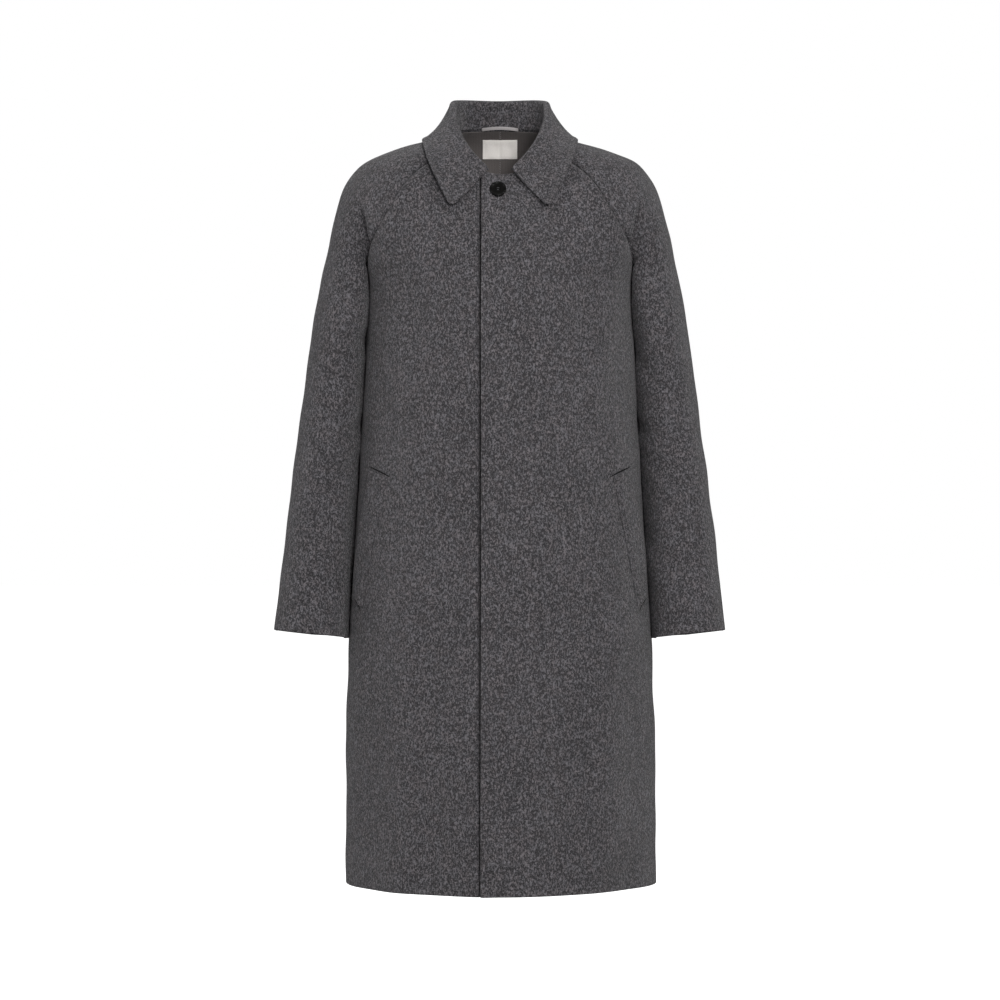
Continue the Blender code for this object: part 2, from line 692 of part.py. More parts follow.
def button(over, finish):
    """A four-hole button with a raised rim, seated on the left front."""
    face = tree_of(over)
    seat, out, _, _ = face.ray_cast(Vector((BUTTON_X, -FAR, BUTTON_Z)), Vector((0, 1, 0)))
    floor = BUTTON_HEIGHT - BUTTON_DISH
    inner = BUTTON_RADIUS - BUTTON_RIM
    profile = (
        (BUTTON_RADIUS * 0.80, 0.0),
        (BUTTON_RADIUS * 0.96, BUTTON_HEIGHT * 0.30),
        (BUTTON_RADIUS, BUTTON_HEIGHT * 0.62),
        (BUTTON_RADIUS * 0.95, BUTTON_HEIGHT * 0.92),
        (BUTTON_RADIUS - BUTTON_RIM * 0.5, BUTTON_HEIGHT),
        (inner + BUTTON_RIM * 0.2, BUTTON_HEIGHT - BUTTON_DISH * 0.4),
        (inner, floor),
    )
    shape = bmesh.new()
    rings = [ring(shape, radius, height, BUTTON_SIDES) for radius, height in profile]
    for near, far in zip(rings, rings[1:]):
        bridge(shape, near, far)
    low, high = [rings[0]], [rings[-1]]
    for quarter in range(4):
        angle = math.radians(45 + 90 * quarter)
        middle = (
            BUTTON_HOLE_SPREAD * math.cos(angle),
            BUTTON_HOLE_SPREAD * math.sin(angle),
        )
        low.append(ring(shape, BUTTON_HOLE_RADIUS, 0.0, HOLE_SIDES, middle))
        high.append(ring(shape, BUTTON_HOLE_RADIUS, floor, HOLE_SIDES, middle))
        bridge(shape, high[-1], low[-1])
    for loops in (low, high):
        edges = [
            shape.edges.get(pair) or shape.edges.new(pair)
            for loop in loops
            for pair in zip(loop, loop[1:] + loop[:1])
        ]
        bmesh.ops.triangle_fill(shape, edges=edges, use_beauty=True)
    bmesh.ops.recalc_face_normals(shape, faces=shape.faces)
    turn = out.to_track_quat("Z", "Y").to_matrix().to_4x4()
    bmesh.ops.transform(shape, matrix=turn, verts=shape.verts)
    bmesh.ops.translate(shape, vec=seat + out * SEAM_GAP, verts=shape.verts)
    return named_object("button_top", shape, finish)


def ring(shape, radius, height, sides, middle=(0, 0)):
    """A ring of points round an upright axis."""
    angles = [2 * math.pi * k / sides for k in range(sides)]
    return [
        shape.verts.new(
            (middle[0] + radius * math.cos(a), middle[1] + radius * math.sin(a), height)
        )
        for a in angles
    ]


def bridge(shape, near, far):
    """A band of faces between two rings of as many points."""
    for (a, b), (c, d) in zip(
        zip(near, near[1:] + near[:1]), zip(far, far[1:] + far[:1])
    ):
        shape.faces.new((a, b, d, c))


def main():
    """Builds the whole coat."""
    clear_scene()
    cloth = material("charcoal_cashmere", CHARCOAL, 0.95)
    finishes = {
        "lining": material("lining", LINING, 0.60),
        "white tape": material("label_tape", WHITE_TAPE, 0.70),
        "grey tape": material("loop_tape", GREY_TAPE, 0.60),
    }
    panels, back_out = coat_panels(cloth)
    collar(panels, cloth)
    pocket_welts(cloth)
    neck_inside(panels[2], back_out, finishes)
    button(panels[0], material("button_horn", HORN, 0.25))


main()
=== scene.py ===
"""Charcoal cashmere overcoat: cut and sewn cloth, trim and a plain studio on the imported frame.

Metres, +Z up. The front faces -Y and the wearer's left is +X. Panels are worked out from the
same sections as the part, drawn finer, and given rolled edges, seams, soft folds and cloth.
Panels are made for the wearer's left, with rows running up and columns running left to right
as seen from outside, and are mirrored for the right.
"""

import math
from collections import namedtuple
from functools import lru_cache

import bmesh
import bpy
import numpy as np
from bpy.props import FloatProperty, FloatVectorProperty, PointerProperty
from mathutils import Matrix, Vector
from mathutils.bvhtree import BVHTree


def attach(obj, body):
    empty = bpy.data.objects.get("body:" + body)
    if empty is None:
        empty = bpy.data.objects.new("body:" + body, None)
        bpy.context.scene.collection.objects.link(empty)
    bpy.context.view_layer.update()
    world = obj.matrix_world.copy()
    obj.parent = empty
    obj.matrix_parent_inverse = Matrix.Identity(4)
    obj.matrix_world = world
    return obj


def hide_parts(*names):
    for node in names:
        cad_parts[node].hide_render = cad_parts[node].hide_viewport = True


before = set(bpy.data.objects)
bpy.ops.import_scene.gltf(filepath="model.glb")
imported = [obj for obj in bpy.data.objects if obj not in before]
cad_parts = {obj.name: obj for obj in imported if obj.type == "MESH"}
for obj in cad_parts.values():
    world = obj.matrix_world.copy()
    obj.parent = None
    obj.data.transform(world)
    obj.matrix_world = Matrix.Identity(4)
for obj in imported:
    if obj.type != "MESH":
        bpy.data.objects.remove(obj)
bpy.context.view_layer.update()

bl_info = {
    "name": "Cashmere Overcoat",
    "version": (1, 0, 0),
    "blender": (4, 5, 0),
    "location": "View3D > Sidebar > Coat",
    "description": "Builds a charcoal raglan overcoat as cut and sewn cloth on its packed frame",
    "category": "Add Mesh",
}

# Cut of the coat
CLOTH = 0.0025
COLLAR_CLOTH = 0.0028
SEAM_GAP = 0.0003
SEAM_RUNS_ON = 0.5
LAP = 0.0270
UNDERLAP = 0.0300
LAP_RAMP = 0.0450

BodySection = namedtuple(
    "BodySection", "place centre_y centre_z side_x side_y side_z turn full"
)
FRONT = (
    BodySection("hem", -0.172, -1.093, 0.2285, 0.010, -1.090, 90, 0.50),
    BodySection("knee", -0.166, -0.860, 0.2265, 0.010, -0.860, 90, 0.55),
    BodySection("wrist", -0.161, -0.728, 0.2230, 0.010, -0.728, 90, 0.60),
    BodySection("pocket", -0.156, -0.610, 0.2150, 0.010, -0.610, 90, 0.60),
    BodySection("waist", -0.151, -0.490, 0.2085, 0.010, -0.490, 90, 0.60),
    BodySection("ribs", -0.147, -0.365, 0.2005, 0.010, -0.365, 90, 0.60),
    BodySection("underarm", -0.142, -0.245, 0.1965, 0.012, -0.235, 90, 0.60),
    BodySection("fold", -0.137, -0.205, 0.1945, -0.033, -0.190, 80, 0.60),
    BodySection("armhole", -0.132, -0.177, 0.1905, -0.070, -0.158, 64, 0.60),
    BodySection("chest", -0.127, -0.154, 0.1795, -0.092, -0.1355, 44, 0.60),
    BodySection("yoke", -0.119, -0.125, 0.1600, -0.099, -0.1020, 31, 0.60),
    BodySection("shoulder", -0.109, -0.096, 0.1350, -0.092, -0.0630, 28, 0.60),
    BodySection("collar", -0.100, -0.074, 0.1080, -0.077, -0.0380, 36, 0.60),
    BodySection("neck", -0.090, -0.055, 0.0620, -0.052, -0.0120, 62, 0.60),
)
BACK = (
    BodySection("hem", 0.166, -1.093, 0.2285, 0.010, -1.090, 90, 0.50),
    BodySection("knee", 0.159, -0.860, 0.2265, 0.010, -0.860, 90, 0.55),
    BodySection("wrist", 0.154, -0.728, 0.2230, 0.010, -0.728, 90, 0.60),
    BodySection("pocket", 0.149, -0.610, 0.2150, 0.010, -0.610, 90, 0.60),
    BodySection("waist", 0.146, -0.490, 0.2085, 0.010, -0.490, 90, 0.60),
    BodySection("ribs", 0.147, -0.365, 0.2005, 0.010, -0.365, 90, 0.60),
    BodySection("underarm", 0.146, -0.240, 0.1965, 0.012, -0.235, 90, 0.60),
    BodySection("fold", 0.144, -0.192, 0.1950, 0.052, -0.200, 78, 0.60),
    BodySection("armhole", 0.141, -0.152, 0.1910, 0.084, -0.168, 62, 0.60),
    BodySection("chest", 0.136, -0.112, 0.1800, 0.105, -0.1350, 44, 0.60),
    BodySection("yoke", 0.127, -0.068, 0.1600, 0.112, -0.0950, 31, 0.60),
    BodySection("shoulder", 0.113, -0.024, 0.1320, 0.101, -0.0480, 28, 0.60),
    BodySection("collar", 0.097, 0.006, 0.1020, 0.080, -0.0100, 36, 0.60),
    BodySection("neck", 0.078, 0.028, 0.0600, 0.048, 0.0230, 62, 0.60),
)
UNDERARM = [section.place for section in FRONT].index("underarm")

ArmSection = namedtuple(
    "ArmSection", "place over_x over_y over_z under_x under_y under_z depth"
)
ARM = (
    ArmSection("cuff", 0.3325, -0.004, -0.7185, 0.2265, -0.003, -0.7305, 0.056),
    ArmSection("forearm", 0.3175, 0.010, -0.5850, 0.2180, 0.012, -0.6000, 0.062),
    ArmSection("elbow", 0.2970, 0.022, -0.4150, 0.2060, 0.022, -0.4350, 0.067),
    ArmSection("biceps", 0.2790, 0.026, -0.2850, 0.2000, 0.019, -0.3250, 0.072),
    ArmSection("underarm", 0.2645, 0.027, -0.1980, 0.1965, 0.012, -0.2350, 0.075),
)
YokeSection = namedtuple(
    "YokeSection", "place over_x over_y over_z seam_reach over_reach follow"
)
YOKE = (
    YokeSection("underarm", 0.2645, 0.027, -0.1980, 0.100, 0.100, 0.0),
    YokeSection("fold", 0.2560, 0.024, -0.1610, 0.050, 0.096, 0.30),
    YokeSection("armhole", 0.2505, 0.021, -0.1360, 0.044, 0.096, 0.70),
    YokeSection("chest", 0.2435, 0.018, -0.1080, 0.042, 0.082, 1.0),
    YokeSection("yoke", 0.2310, 0.014, -0.0680, 0.044, 0.062, 1.0),
    YokeSection("shoulder", 0.2010, 0.009, -0.0300, 0.044, 0.052, 1.0),
    YokeSection("collar", 0.1500, 0.004, -0.0110, 0.034, 0.040, 1.0),
    YokeSection("neck", 0.0730, 0.000, 0.0120, 0.018, 0.020, 1.0),
)
CUFF_LEAN = 0.06
ARMPIT_EASE = (9, 20, 12)
EASE_TOWARDS = 0.50
EASE_BACK = -0.51
ARM_CLEARANCE = 0.0040
ARM_CLEARANCE_SLOPE = 0.06

CollarSection = namedtuple(
    "CollarSection", "place roll_x roll_y roll_z edge_x edge_y edge_z radius seam_turn"
)
COLLAR = (
    CollarSection("back", 0.000, 0.069, 0.0700, 0.0000, 0.1030, 0.0075, 0.0060, 180),
    CollarSection("side back", 0.042, 0.059, 0.0695, 0.0690, 0.0940, 0.0062, 0.0060, 138),
    CollarSection("shoulder", 0.063, 0.026, 0.0640, 0.1060, 0.0450, 0.0050, 0.0060, 106),
    CollarSection("side", 0.064, -0.012, 0.0420, 0.1150, -0.0180, 0.0025, 0.0055, 80),
    CollarSection("side front", 0.055, -0.047, 0.0100, 0.1057, -0.0810, -0.0345, 0.0050, 54),
    CollarSection("front", 0.038, -0.073, -0.0200, 0.0893, -0.1045, -0.0715, 0.0045, 32),
    CollarSection("point", 0.0175, -0.0905, -0.0440, 0.0715, -0.1220, -0.1075, 0.0040, 11),
)
COLLAR_LIFT = 0.0014
FALL_SPREAD = 0.20
FALL_HANG = 0.0060
FALL_ROWS = 6
STAND_SHARE = 0.60
ROLL_TURNS = (45, 90, 135)
# How the fall's edge lifts towards the front, and how its waves die out at the stand
FALL_LIFT = 0.0056
FALL_LIFT_DECAY = 0.014
FALL_LIFT_FROM = -0.045
FALL_LIFT_RUN = 0.045
FALL_WAVES = 0.5
FALL_HELD = 0.020

SKIRT_STEPS = (2, 2, 1, 1, 2, 2)
YOKE_STEPS = (2, 1, 1, 2, 2, 2, 2)
ARM_STEPS = (2, 3, 3, 4)
COLLAR_STEPS = (2, 3, 3, 3, 3, 2)
FRONT_COLUMNS = 14
BACK_COLUMNS = 11
SLEEVE_COLUMNS = 11
FINE = 200
NEARBY = 0.02
FAR = 1.0
MIRROR = np.array((-1, 1, 1))

# Welt pockets
WELT_LENGTH = 0.196
WELT_WIDTH = 0.042
WELT_SLANT = math.radians(16.0)
WELT_TOP_GIRTH = 0.1750
WELT_TOP_Z = -0.4950
WELT_LIFT = 0.0006
WELT_GAPE = 0.0030

# Inside the neck
FACING_FROM = 4
FACING_CLOTH = 0.0010
LABEL_WIDTH = 0.0520
LABEL_HEIGHT = 0.0270
LABEL_DROP = 0.0150
LABEL_LIFT = 0.0005
LABEL_CLOTH = 0.0006
LOOP_SPAN = 0.0540
LOOP_HEIGHT = 0.0050
LOOP_CLOTH = 0.0012
LOOP_LIFT = 0.0036
LOOP_DROP = 0.0045
LOOP_BOW = 0.0095
LOOP_ARCH = 0.0020

# Button
BUTTON_RADIUS = 0.0120
BUTTON_HEIGHT = 0.0042
BUTTON_HOLE_RADIUS = 0.0011
BUTTON_HOLE_SPREAD = 0.0024
BUTTON_X = -0.0030
BUTTON_Z = -0.0790

# Finer cuts of each panel's columns
FRONT_CUT = 10
BACK_CUT = 7
SLEEVE_CUT = 11
COLLAR_CUT = 6
COLLAR_ROW_STEP = 0.0022
RIM_TURNS = (36, 72, 108, 144)
# At a seam the outer edges stand back from the seam line and the inner edges pass it
SEAM_BACK = 0.0009
SEAM_PASS = 0.0006
SEAM_ROLL = 0.16
# How far the stand laps over the fall where they are sewn together
STAND_LAP = 0.0030
# Share of the seam dip at the centre back, which lies flat under the facing
CENTRE_BACK_DIP = 0.10
# How much closer columns lie at seams and edges, and how far from them
CROWD = 6.0
CROWD_WIDTH = 0.45

# The fold where a sleeve's front rolls under the body, down from where it starts
ArmFold = namedtuple("ArmFold", "z x depth")
ARM_FOLD = (
    ArmFold(-0.094, 0.2050, 0.0000),
    ArmFold(-0.106, 0.2025, 0.0070),
    ArmFold(-0.122, 0.1985, 0.0135),
    ArmFold(-0.140, 0.1945, 0.0170),
    ArmFold(-0.160, 0.1915, 0.0180),
    ArmFold(-0.180, 0.1908, 0.0150),
    ArmFold(-0.205, 0.1915, 0.0080),
    ArmFold(-0.235, 0.1935, 0.0030),
    ArmFold(-0.265, 0.1965, 0.0000),
)
# Its depth on the sleeve's side, as shares that each die out over a distance
ARM_FOLD_SLEEVE = ((0.40, 0.0130), (0.60, 0.0040))
ARM_FOLD_BODY = 0.0024
ARM_FOLD_LIP = 0.10
# How far the cloth slides across into the fold, against its depth, and where
ARM_FOLD_SLIDE = 0.12
ARM_SLIDE_BODY = 0.9
ARM_SLIDE_RUN = 0.006
ARM_SLIDE_FROM = -0.180
ARM_SLIDE_RAMP = 0.030
BACK_FOLD_SHARE = 0.55

# How the hanging sleeve lies against the body's flank
ARM_REST = 0.0010
ARM_REST_FROM = (-0.150, -0.188)
ARM_PRESS_FRONT = 0.0040
ARM_PRESS_UNDER = 0.0120
ARM_PRESS_BACK = 0.0120
ARM_PRESS_DEPTHS = (-0.01, 0.03)
ARM_PRESS_DROPS = (0.235, 0.320)
ARM_REST_FACING = 0.6

# Soft creases, each a line on one panel. Girth runs from centre front or back, or on a
# sleeve from the underarm seam. A negative depth is a ridge.
Crease = namedtuple(
    "Crease", "panel girth_a z_a girth_b z_b bow width depth"
)
CREASES = (
    Crease("front_left", 0.172, -0.175, 0.118, -0.345, 0.012, 0.020, 0.0026),
    Crease("front_left", 0.205, -0.290, 0.150, -0.455, -0.010, 0.024, 0.0018),
    Crease("front_left", 0.105, -0.640, 0.128, -1.120, 0.010, 0.040, 0.0040),
    Crease("front_left", 0.205, -0.720, 0.222, -1.120, -0.008, 0.036, 0.0032),
    Crease("front_left", 0.060, -0.150, 0.055, -0.420, 0.010, 0.034, -0.0016),
    Crease("front_right", 0.168, -0.185, 0.122, -0.330, 0.014, 0.018, 0.0024),
    Crease("front_right", 0.198, -0.310, 0.160, -0.480, -0.008, 0.022, 0.0020),
    Crease("front_right", 0.088, -0.700, 0.100, -1.120, -0.012, 0.036, 0.0034),
    Crease("front_right", 0.196, -0.680, 0.214, -1.120, 0.008, 0.040, 0.0036),
    Crease("back_left", 0.155, -0.155, 0.085, -0.330, 0.016, 0.022, 0.0034),
    Crease("back_left", 0.190, -0.250, 0.110, -0.430, 0.014, 0.026, 0.0030),
    Crease("back_left", 0.095, -0.420, 0.112, -1.120, 0.016, 0.046, 0.0062),
    Crease("back_left", 0.190, -0.560, 0.206, -1.120, -0.010, 0.040, 0.0044),
    Crease("back_left", 0.040, -0.045, 0.110, -0.075, 0.010, 0.016, 0.0018),
    Crease("back_right", 0.150, -0.165, 0.092, -0.310, 0.012, 0.020, 0.0030),
    Crease("back_right", 0.182, -0.265, 0.120, -0.410, 0.010, 0.024, 0.0032),
    Crease("back_right", 0.078, -0.470, 0.086, -1.120, -0.014, 0.044, 0.0056),
    Crease("back_right", 0.172, -0.520, 0.196, -1.120, 0.012, 0.042, 0.0050),
    Crease("sleeve_front_left", 0.010, -0.300, 0.085, -0.365, -0.008, 0.014, 0.0026),
    Crease("sleeve_front_left", 0.006, -0.405, 0.075, -0.432, 0.006, 0.011, 0.0030),
    Crease("sleeve_front_left", 0.020, -0.455, 0.100, -0.500, -0.006, 0.014, 0.0022),
    Crease("sleeve_front_left", 0.085, -0.230, 0.070, -0.400, 0.008, 0.026, 0.0022),
    Crease("sleeve_front_left", 0.030, -0.560, 0.095, -0.640, 0.008, 0.018, 0.0016),
    Crease("sleeve_front_right", 0.008, -0.285, 0.090, -0.340, -0.010, 0.015, 0.0028),
    Crease("sleeve_front_right", 0.004, -0.395, 0.082, -0.440, 0.006, 0.012, 0.0028),
    Crease("sleeve_front_right", 0.015, -0.475, 0.090, -0.500, -0.005, 0.013, 0.0022),
    Crease("sleeve_front_right", 0.100, -0.200, 0.078, -0.380, 0.008, 0.024, 0.0020),
    Crease("sleeve_front_right", 0.025, -0.600, 0.085, -0.655, 0.006, 0.016, 0.0016),
    Crease("sleeve_back_left", 0.012, -0.290, 0.105, -0.350, 0.010, 0.018, 0.0034),
    Crease("sleeve_back_left", 0.010, -0.390, 0.090, -0.405, -0.006, 0.013, 0.0032),
    Crease("sleeve_back_left", 0.015, -0.450, 0.100, -0.480, 0.008, 0.014, 0.0030),
    Crease("sleeve_back_left", 0.020, -0.545, 0.100, -0.600, 0.008, 0.020, 0.0022),
    Crease("sleeve_back_right", 0.010, -0.275, 0.110, -0.330, 0.012, 0.018, 0.0032),
    Crease("sleeve_back_right", 0.008, -0.380, 0.095, -0.410, -0.008, 0.013, 0.0030),
    Crease("sleeve_back_right", 0.012, -0.465, 0.092, -0.485, 0.006, 0.013, 0.0032),
    Crease("sleeve_back_right", 0.018, -0.560, 0.105, -0.625, 0.006, 0.019, 0.0022),
)
# How a crease fades to its ends, and the ridges beside it against its depth and width
CREASE_TAPER = 0.7
CREASE_RIDGE = 0.30
CREASE_RIDGE_OFF = 1.9
# Slow unevenness that runs through all panels: waves per metre, phase and height
Wave = namedtuple("Wave", "x y z phase height")
WAVES = (
    Wave(7.0, 5.0, 4.0, 0.3, 0.00055),
    Wave(-11.0, 6.0, 7.0, 1.9, 0.00040),
    Wave(5.0, -9.0, 13.0, 4.1, 0.00030),
    Wave(17.0, 11.0, -9.0, 2.7, 0.00020),
)
# Flutes of the skirt round the body: how many, phase and share of the full height
Flute = namedtuple("Flute", "count phase share")
FLUTES = (Flute(5, 0.4, 0.50), Flute(8, 2.2, 0.30), Flute(11, 4.6, 0.20))
FLUTES_FROM = -0.55
FLUTES_TO = -1.09
# Share of the front ridge at levels up the lap, and how fast the groove beside it ends
RIDGE_LEVELS = (-1.09, -0.55, -0.20, -0.07)
RIDGE_SHARES = (1.0, 0.7, 0.5, 0.1)
GROOVE_DECAY = 0.0024


class CoatCloth(bpy.types.PropertyGroup):
    """How the cloth is cut, edged and coloured."""

    edge_roll: FloatProperty(
        name="Edge roll",
        description="How far a turned edge bulges, against half its thickness",
        default=1.0, min=0.0, max=1.5, subtype="FACTOR",
    )
    row_step: FloatProperty(
        name="Row step", description="Distance between rows of a panel",
        default=0.0042, min=0.003, max=0.03, unit="LENGTH",
    )
    seam_dip: FloatProperty(
        name="Seam dip", description="How far the cloth sinks at a seam",
        default=0.0046, min=0.0, max=0.008, unit="LENGTH",
    )
    seam_width: FloatProperty(
        name="Seam width", description="How far from a seam the cloth sinks",
        default=0.0018, min=0.001, max=0.02, unit="LENGTH",
    )
    ground: FloatVectorProperty(
        name="Ground", description="Dark fibres of the felted cloth",
        default=(0.0164, 0.0158, 0.0169), size=3, min=0.0, max=1.0, subtype="COLOR",
    )
    fleck: FloatVectorProperty(
        name="Fleck", description="Light fibres of the felted cloth",
        default=(0.135, 0.129, 0.140), size=3, min=0.0, max=1.0, subtype="COLOR",
    )
    warm_fleck: FloatVectorProperty(
        name="Warm fleck", description="Light fibres with a little brown and red",
        default=(0.140, 0.127, 0.134), size=3, min=0.0, max=1.0, subtype="COLOR",
    )
    fleck_size: FloatProperty(
        name="Fleck size", description="Size of one fleck of light fibres",
        default=0.0025, min=0.0005, max=0.02, unit="LENGTH",
    )


class CoatDrape(bpy.types.PropertyGroup):
    """How the coat hangs."""

    crease: FloatProperty(
        name="Creases", description="Depth of the soft creases against their table",
        default=1.0, min=0.0, max=3.0, subtype="FACTOR",
    )
    flute: FloatProperty(
        name="Flutes", description="Height of the skirt's flutes at the hem",
        default=0.0030, min=0.0, max=0.02, unit="LENGTH",
    )
    ridge: FloatProperty(
        name="Front ridge", description="How far the layers of the covered front stand up",
        default=0.0070, min=0.0, max=0.02, unit="LENGTH",
    )
    ridge_width: FloatProperty(
        name="Ridge width", description="How far from the lapped edge the fronts rise",
        default=0.0280, min=0.005, max=0.2, unit="LENGTH",
    )
    edge_puff: FloatProperty(
        name="Edge puff", description="How far the doubled front edge stands up",
        default=0.0026, min=0.0, max=0.01, unit="LENGTH",
    )
    edge_groove: FloatProperty(
        name="Edge groove", description="How far the under front sinks beside the lapped edge",
        default=0.0095, min=0.0, max=0.02, unit="LENGTH",
    )
    puff_width: FloatProperty(
        name="Puff width", description="Width of the doubled front edge",
        default=0.0110, min=0.002, max=0.05, unit="LENGTH",
    )


class CoatTrim(bpy.types.PropertyGroup):
    """Colours of the trim."""

    lining: FloatVectorProperty(
        name="Facing", description="Cloth inside the back neck",
        default=(0.114, 0.101, 0.098), size=3, min=0.0, max=1.0, subtype="COLOR",
    )
    tape: FloatVectorProperty(
        name="Label", description="Woven tape of the label",
        default=(0.950, 0.905, 0.860), size=3, min=0.0, max=1.0, subtype="COLOR",
    )
    loop: FloatVectorProperty(
        name="Loop", description="Woven tape of the hanger loop",
        default=(0.290, 0.272, 0.272), size=3, min=0.0, max=1.0, subtype="COLOR",
    )
    # Also colours the cords of painted shade in the pocket slits
    horn: FloatVectorProperty(
        name="Button", description="Polished dark horn",
        default=(0.0012, 0.0011, 0.0010), size=3, min=0.0, max=1.0, subtype="COLOR",
    )
    thread: FloatVectorProperty(
        name="Thread", description="Sewing thread",
        default=(0.045, 0.044, 0.047), size=3, min=0.0, max=1.0, subtype="COLOR",
    )
    corner: FloatProperty(
        name="Collar corner", description="Radius of the collar's points",
        default=0.0075, min=0.001, max=0.03, unit="LENGTH",
    )


class CoatStage(bpy.types.PropertyGroup):
    """Camera, floor and light."""

    distance: FloatProperty(
        name="Camera distance", description="From the camera to the coat's middle",
        default=5.0, min=1.0, max=20.0, unit="LENGTH",
    )
    height: FloatProperty(
        name="Camera height", description="Level of the camera",
        default=-0.527, min=-2.0, max=2.0, unit="LENGTH",
    )
    lens: FloatProperty(
        name="Lens", description="Focal length in millimetres", default=122.1, min=20.0, max=300.0,
    )
    floor: FloatProperty(
        name="Floor", description="Level of the floor", default=-1.42, min=-3.0, max=-1.1,
        unit="LENGTH",
    )
    front: FloatProperty(
        name="Front light", description="Soft box by the camera", default=138.0, min=0.0,
        unit="POWER",
    )
    key: FloatProperty(
        name="Key light", description="Soft box on the right", default=62.0, min=0.0, unit="POWER",
    )
    fill: FloatProperty(
        name="Fill light", description="Soft box on the left", default=38.0, min=0.0, unit="POWER",
    )
    rim: FloatProperty(
        name="Side lights", description="Strips beside the coat", default=9.0, min=0.0, unit="POWER",
    )
    back: FloatProperty(
        name="Back light", description="Soft box behind the coat", default=46.0, min=0.0,
        unit="POWER",
    )
    surround: FloatProperty(
        name="Surround", description="Light from the white studio", default=0.36, min=0.0, max=4.0,
    )


def cloth_settings():
    return bpy.context.scene.coat_cloth


def drape_settings():
    return bpy.context.scene.coat_drape


def trim_settings():
    return bpy.context.scene.coat_trim


def stage_settings():
    return bpy.context.scene.coat_stage


def stations(steps, first=0):
    """Places along a table, each step between two sections cut into that many rows."""
    cuts = [np.arange(count) / count + first + i for i, count in enumerate(steps)]
    return np.concatenate(cuts + [[first + len(steps)]])


def smooth(values, at):
    """A curve through evenly spaced values that never overshoots them, read at places."""
    values = np.asarray(values, float)
    rise = np.diff(values)
    slope = np.zeros(len(values))
    slope[0], slope[-1] = rise[0], rise[-1]
    product = rise[:-1] * rise[1:]
    total = rise[:-1] + rise[1:]
    bends = product > 0
    slope[1:-1][bends] = 2 * product[bends] / total[bends]
    left = np.clip(np.floor(at).astype(int), 0, len(values) - 2)
    u = at - left
    turned = u * u * (3 - 2 * u)
    lead = u * (1 - u) * (1 - u)
    tail = u * u * (u - 1)
    level = values[left] * (1 - turned) + values[left + 1] * turned
    return level + lead * slope[left] + tail * slope[left + 1]


def eased_in(share):
    """A share held within 0 and 1, starting and ending gently."""
    share = np.clip(share, 0, 1)
    return share * share * (3 - 2 * share)


def sections_at(table, places):
    """The table's sections worked out at any places between its rows."""
    kind = type(table[0])
    columns = [smooth(column, places) for column in list(zip(*table))[1:]]
    return [kind("between", *values) for values in zip(*columns)]


def cubic(start, start_handle, end_handle, end, t):
    """Points of a Bezier curve at the places t."""
    t = np.asarray(t, float)[:, None]
    rest = 1 - t
    near = rest**3 * np.asarray(start) + 3 * rest**2 * t * np.asarray(start_handle)
    return near + 3 * rest * t**2 * np.asarray(end_handle) + t**3 * np.asarray(end)


def body_handles(section):
    """The four Bezier points of one body section, from the centre line to the side."""
    turn = math.radians(section.turn)
    across = section.side_y - section.centre_y
    tail = abs(across) / math.sin(turn)
    lead = section.side_x - tail * math.cos(turn)
    rise = section.side_z - section.centre_z
    heading = np.array((math.cos(turn), math.copysign(math.sin(turn), across), 0))
    centre = np.array((0, section.centre_y, section.centre_z))
    side = np.array((section.side_x, section.side_y, section.side_z))
    leaving = centre + np.array((section.full * lead, 0, 0))
    arriving = side - section.full * tail * heading
    arriving[2] = section.centre_z + rise / 3
    return centre, leaving, arriving, side


def body_row(section, t):
    """One section's points; negative t runs past the centre line onto the other half."""
    t = np.asarray(t, float)
    points = cubic(*body_handles(section), np.abs(t))
    points[:, 0] *= np.where(t < 0, -1, 1)
    return points


def place_at(section, x):
    """The place t where a section comes to x."""
    t = np.linspace(0, 1, FINE)
    return np.interp(x, body_row(section, t)[:, 0], t)


def unit(vectors):
    """Vectors at length one."""
    return vectors / np.linalg.norm(vectors, axis=-1, keepdims=True)


def normals_of(grid):
    """Outward normals of a grid of points, rows up and columns left to right."""
    up = np.gradient(grid, axis=0, edge_order=2)
    across = np.gradient(grid, axis=1, edge_order=2)
    return unit(np.cross(across, up))


def mirrored(grid):
    """The same panel for the wearer's right."""
    return grid[:, ::-1] * MIRROR


def drawn_back(grid, left=0.0, right=0.0, bottom=0.0, top=0.0):
    """The grid with its edges moved back along its own lines, and what is near them a little."""
    made = grid.copy()
    across, up = unit(np.gradient(grid, axis=1)), unit(np.gradient(grid, axis=0))
    for way, run, distance in (
        (across, row_run(grid, False), left),
        (-across, row_run(grid, True), right),
        (up, column_run(grid, False), bottom),
        (-up, column_run(grid, True), top),
    ):
        if distance:
            share = np.clip(1 - run / abs(3 * distance), 0, 1)
            made += way * (share * distance)[:, :, None]
    return made


def share_normals(first, first_edge, second, second_edge):
    """Gives two panels one normal along a seam wherever the cloth runs on over it."""
    near, far = first[first_edge], second[second_edge]
    mean = near + far
    runs_on = (near * far).sum(axis=1) > SEAM_RUNS_ON
    mean[runs_on] = unit(mean[runs_on])
    near[runs_on] = mean[runs_on]
    far[runs_on] = mean[runs_on]


def tree_of(*grids):
    """A tree of the grids' faces, for finding what a piece rests on."""
    points, faces = [], []
    for grid in grids:
        rows, columns = grid.shape[:2]
        first = len(points)
        points += [Vector(point) for point in grid.reshape(-1, 3)]
        for i in range(rows - 1):
            for j in range(columns - 1):
                low = first + i * columns + j
                high = low + columns
                faces.append((low, low + 1, high + 1, high))
    return BVHTree.FromPolygons(points, faces)


def lifted(points, tree, lift):
    """Points moved out along the nearest surface's normal until they clear it by lift."""
    made = points.copy()
    for index in np.ndindex(points.shape[:-1]):
        point = Vector(points[index])
        place, normal, _, _ = tree.find_nearest(point)
        height = (point - place).dot(normal)
        if height < lift:
            made[index] = point + normal * (lift - height)
    return made


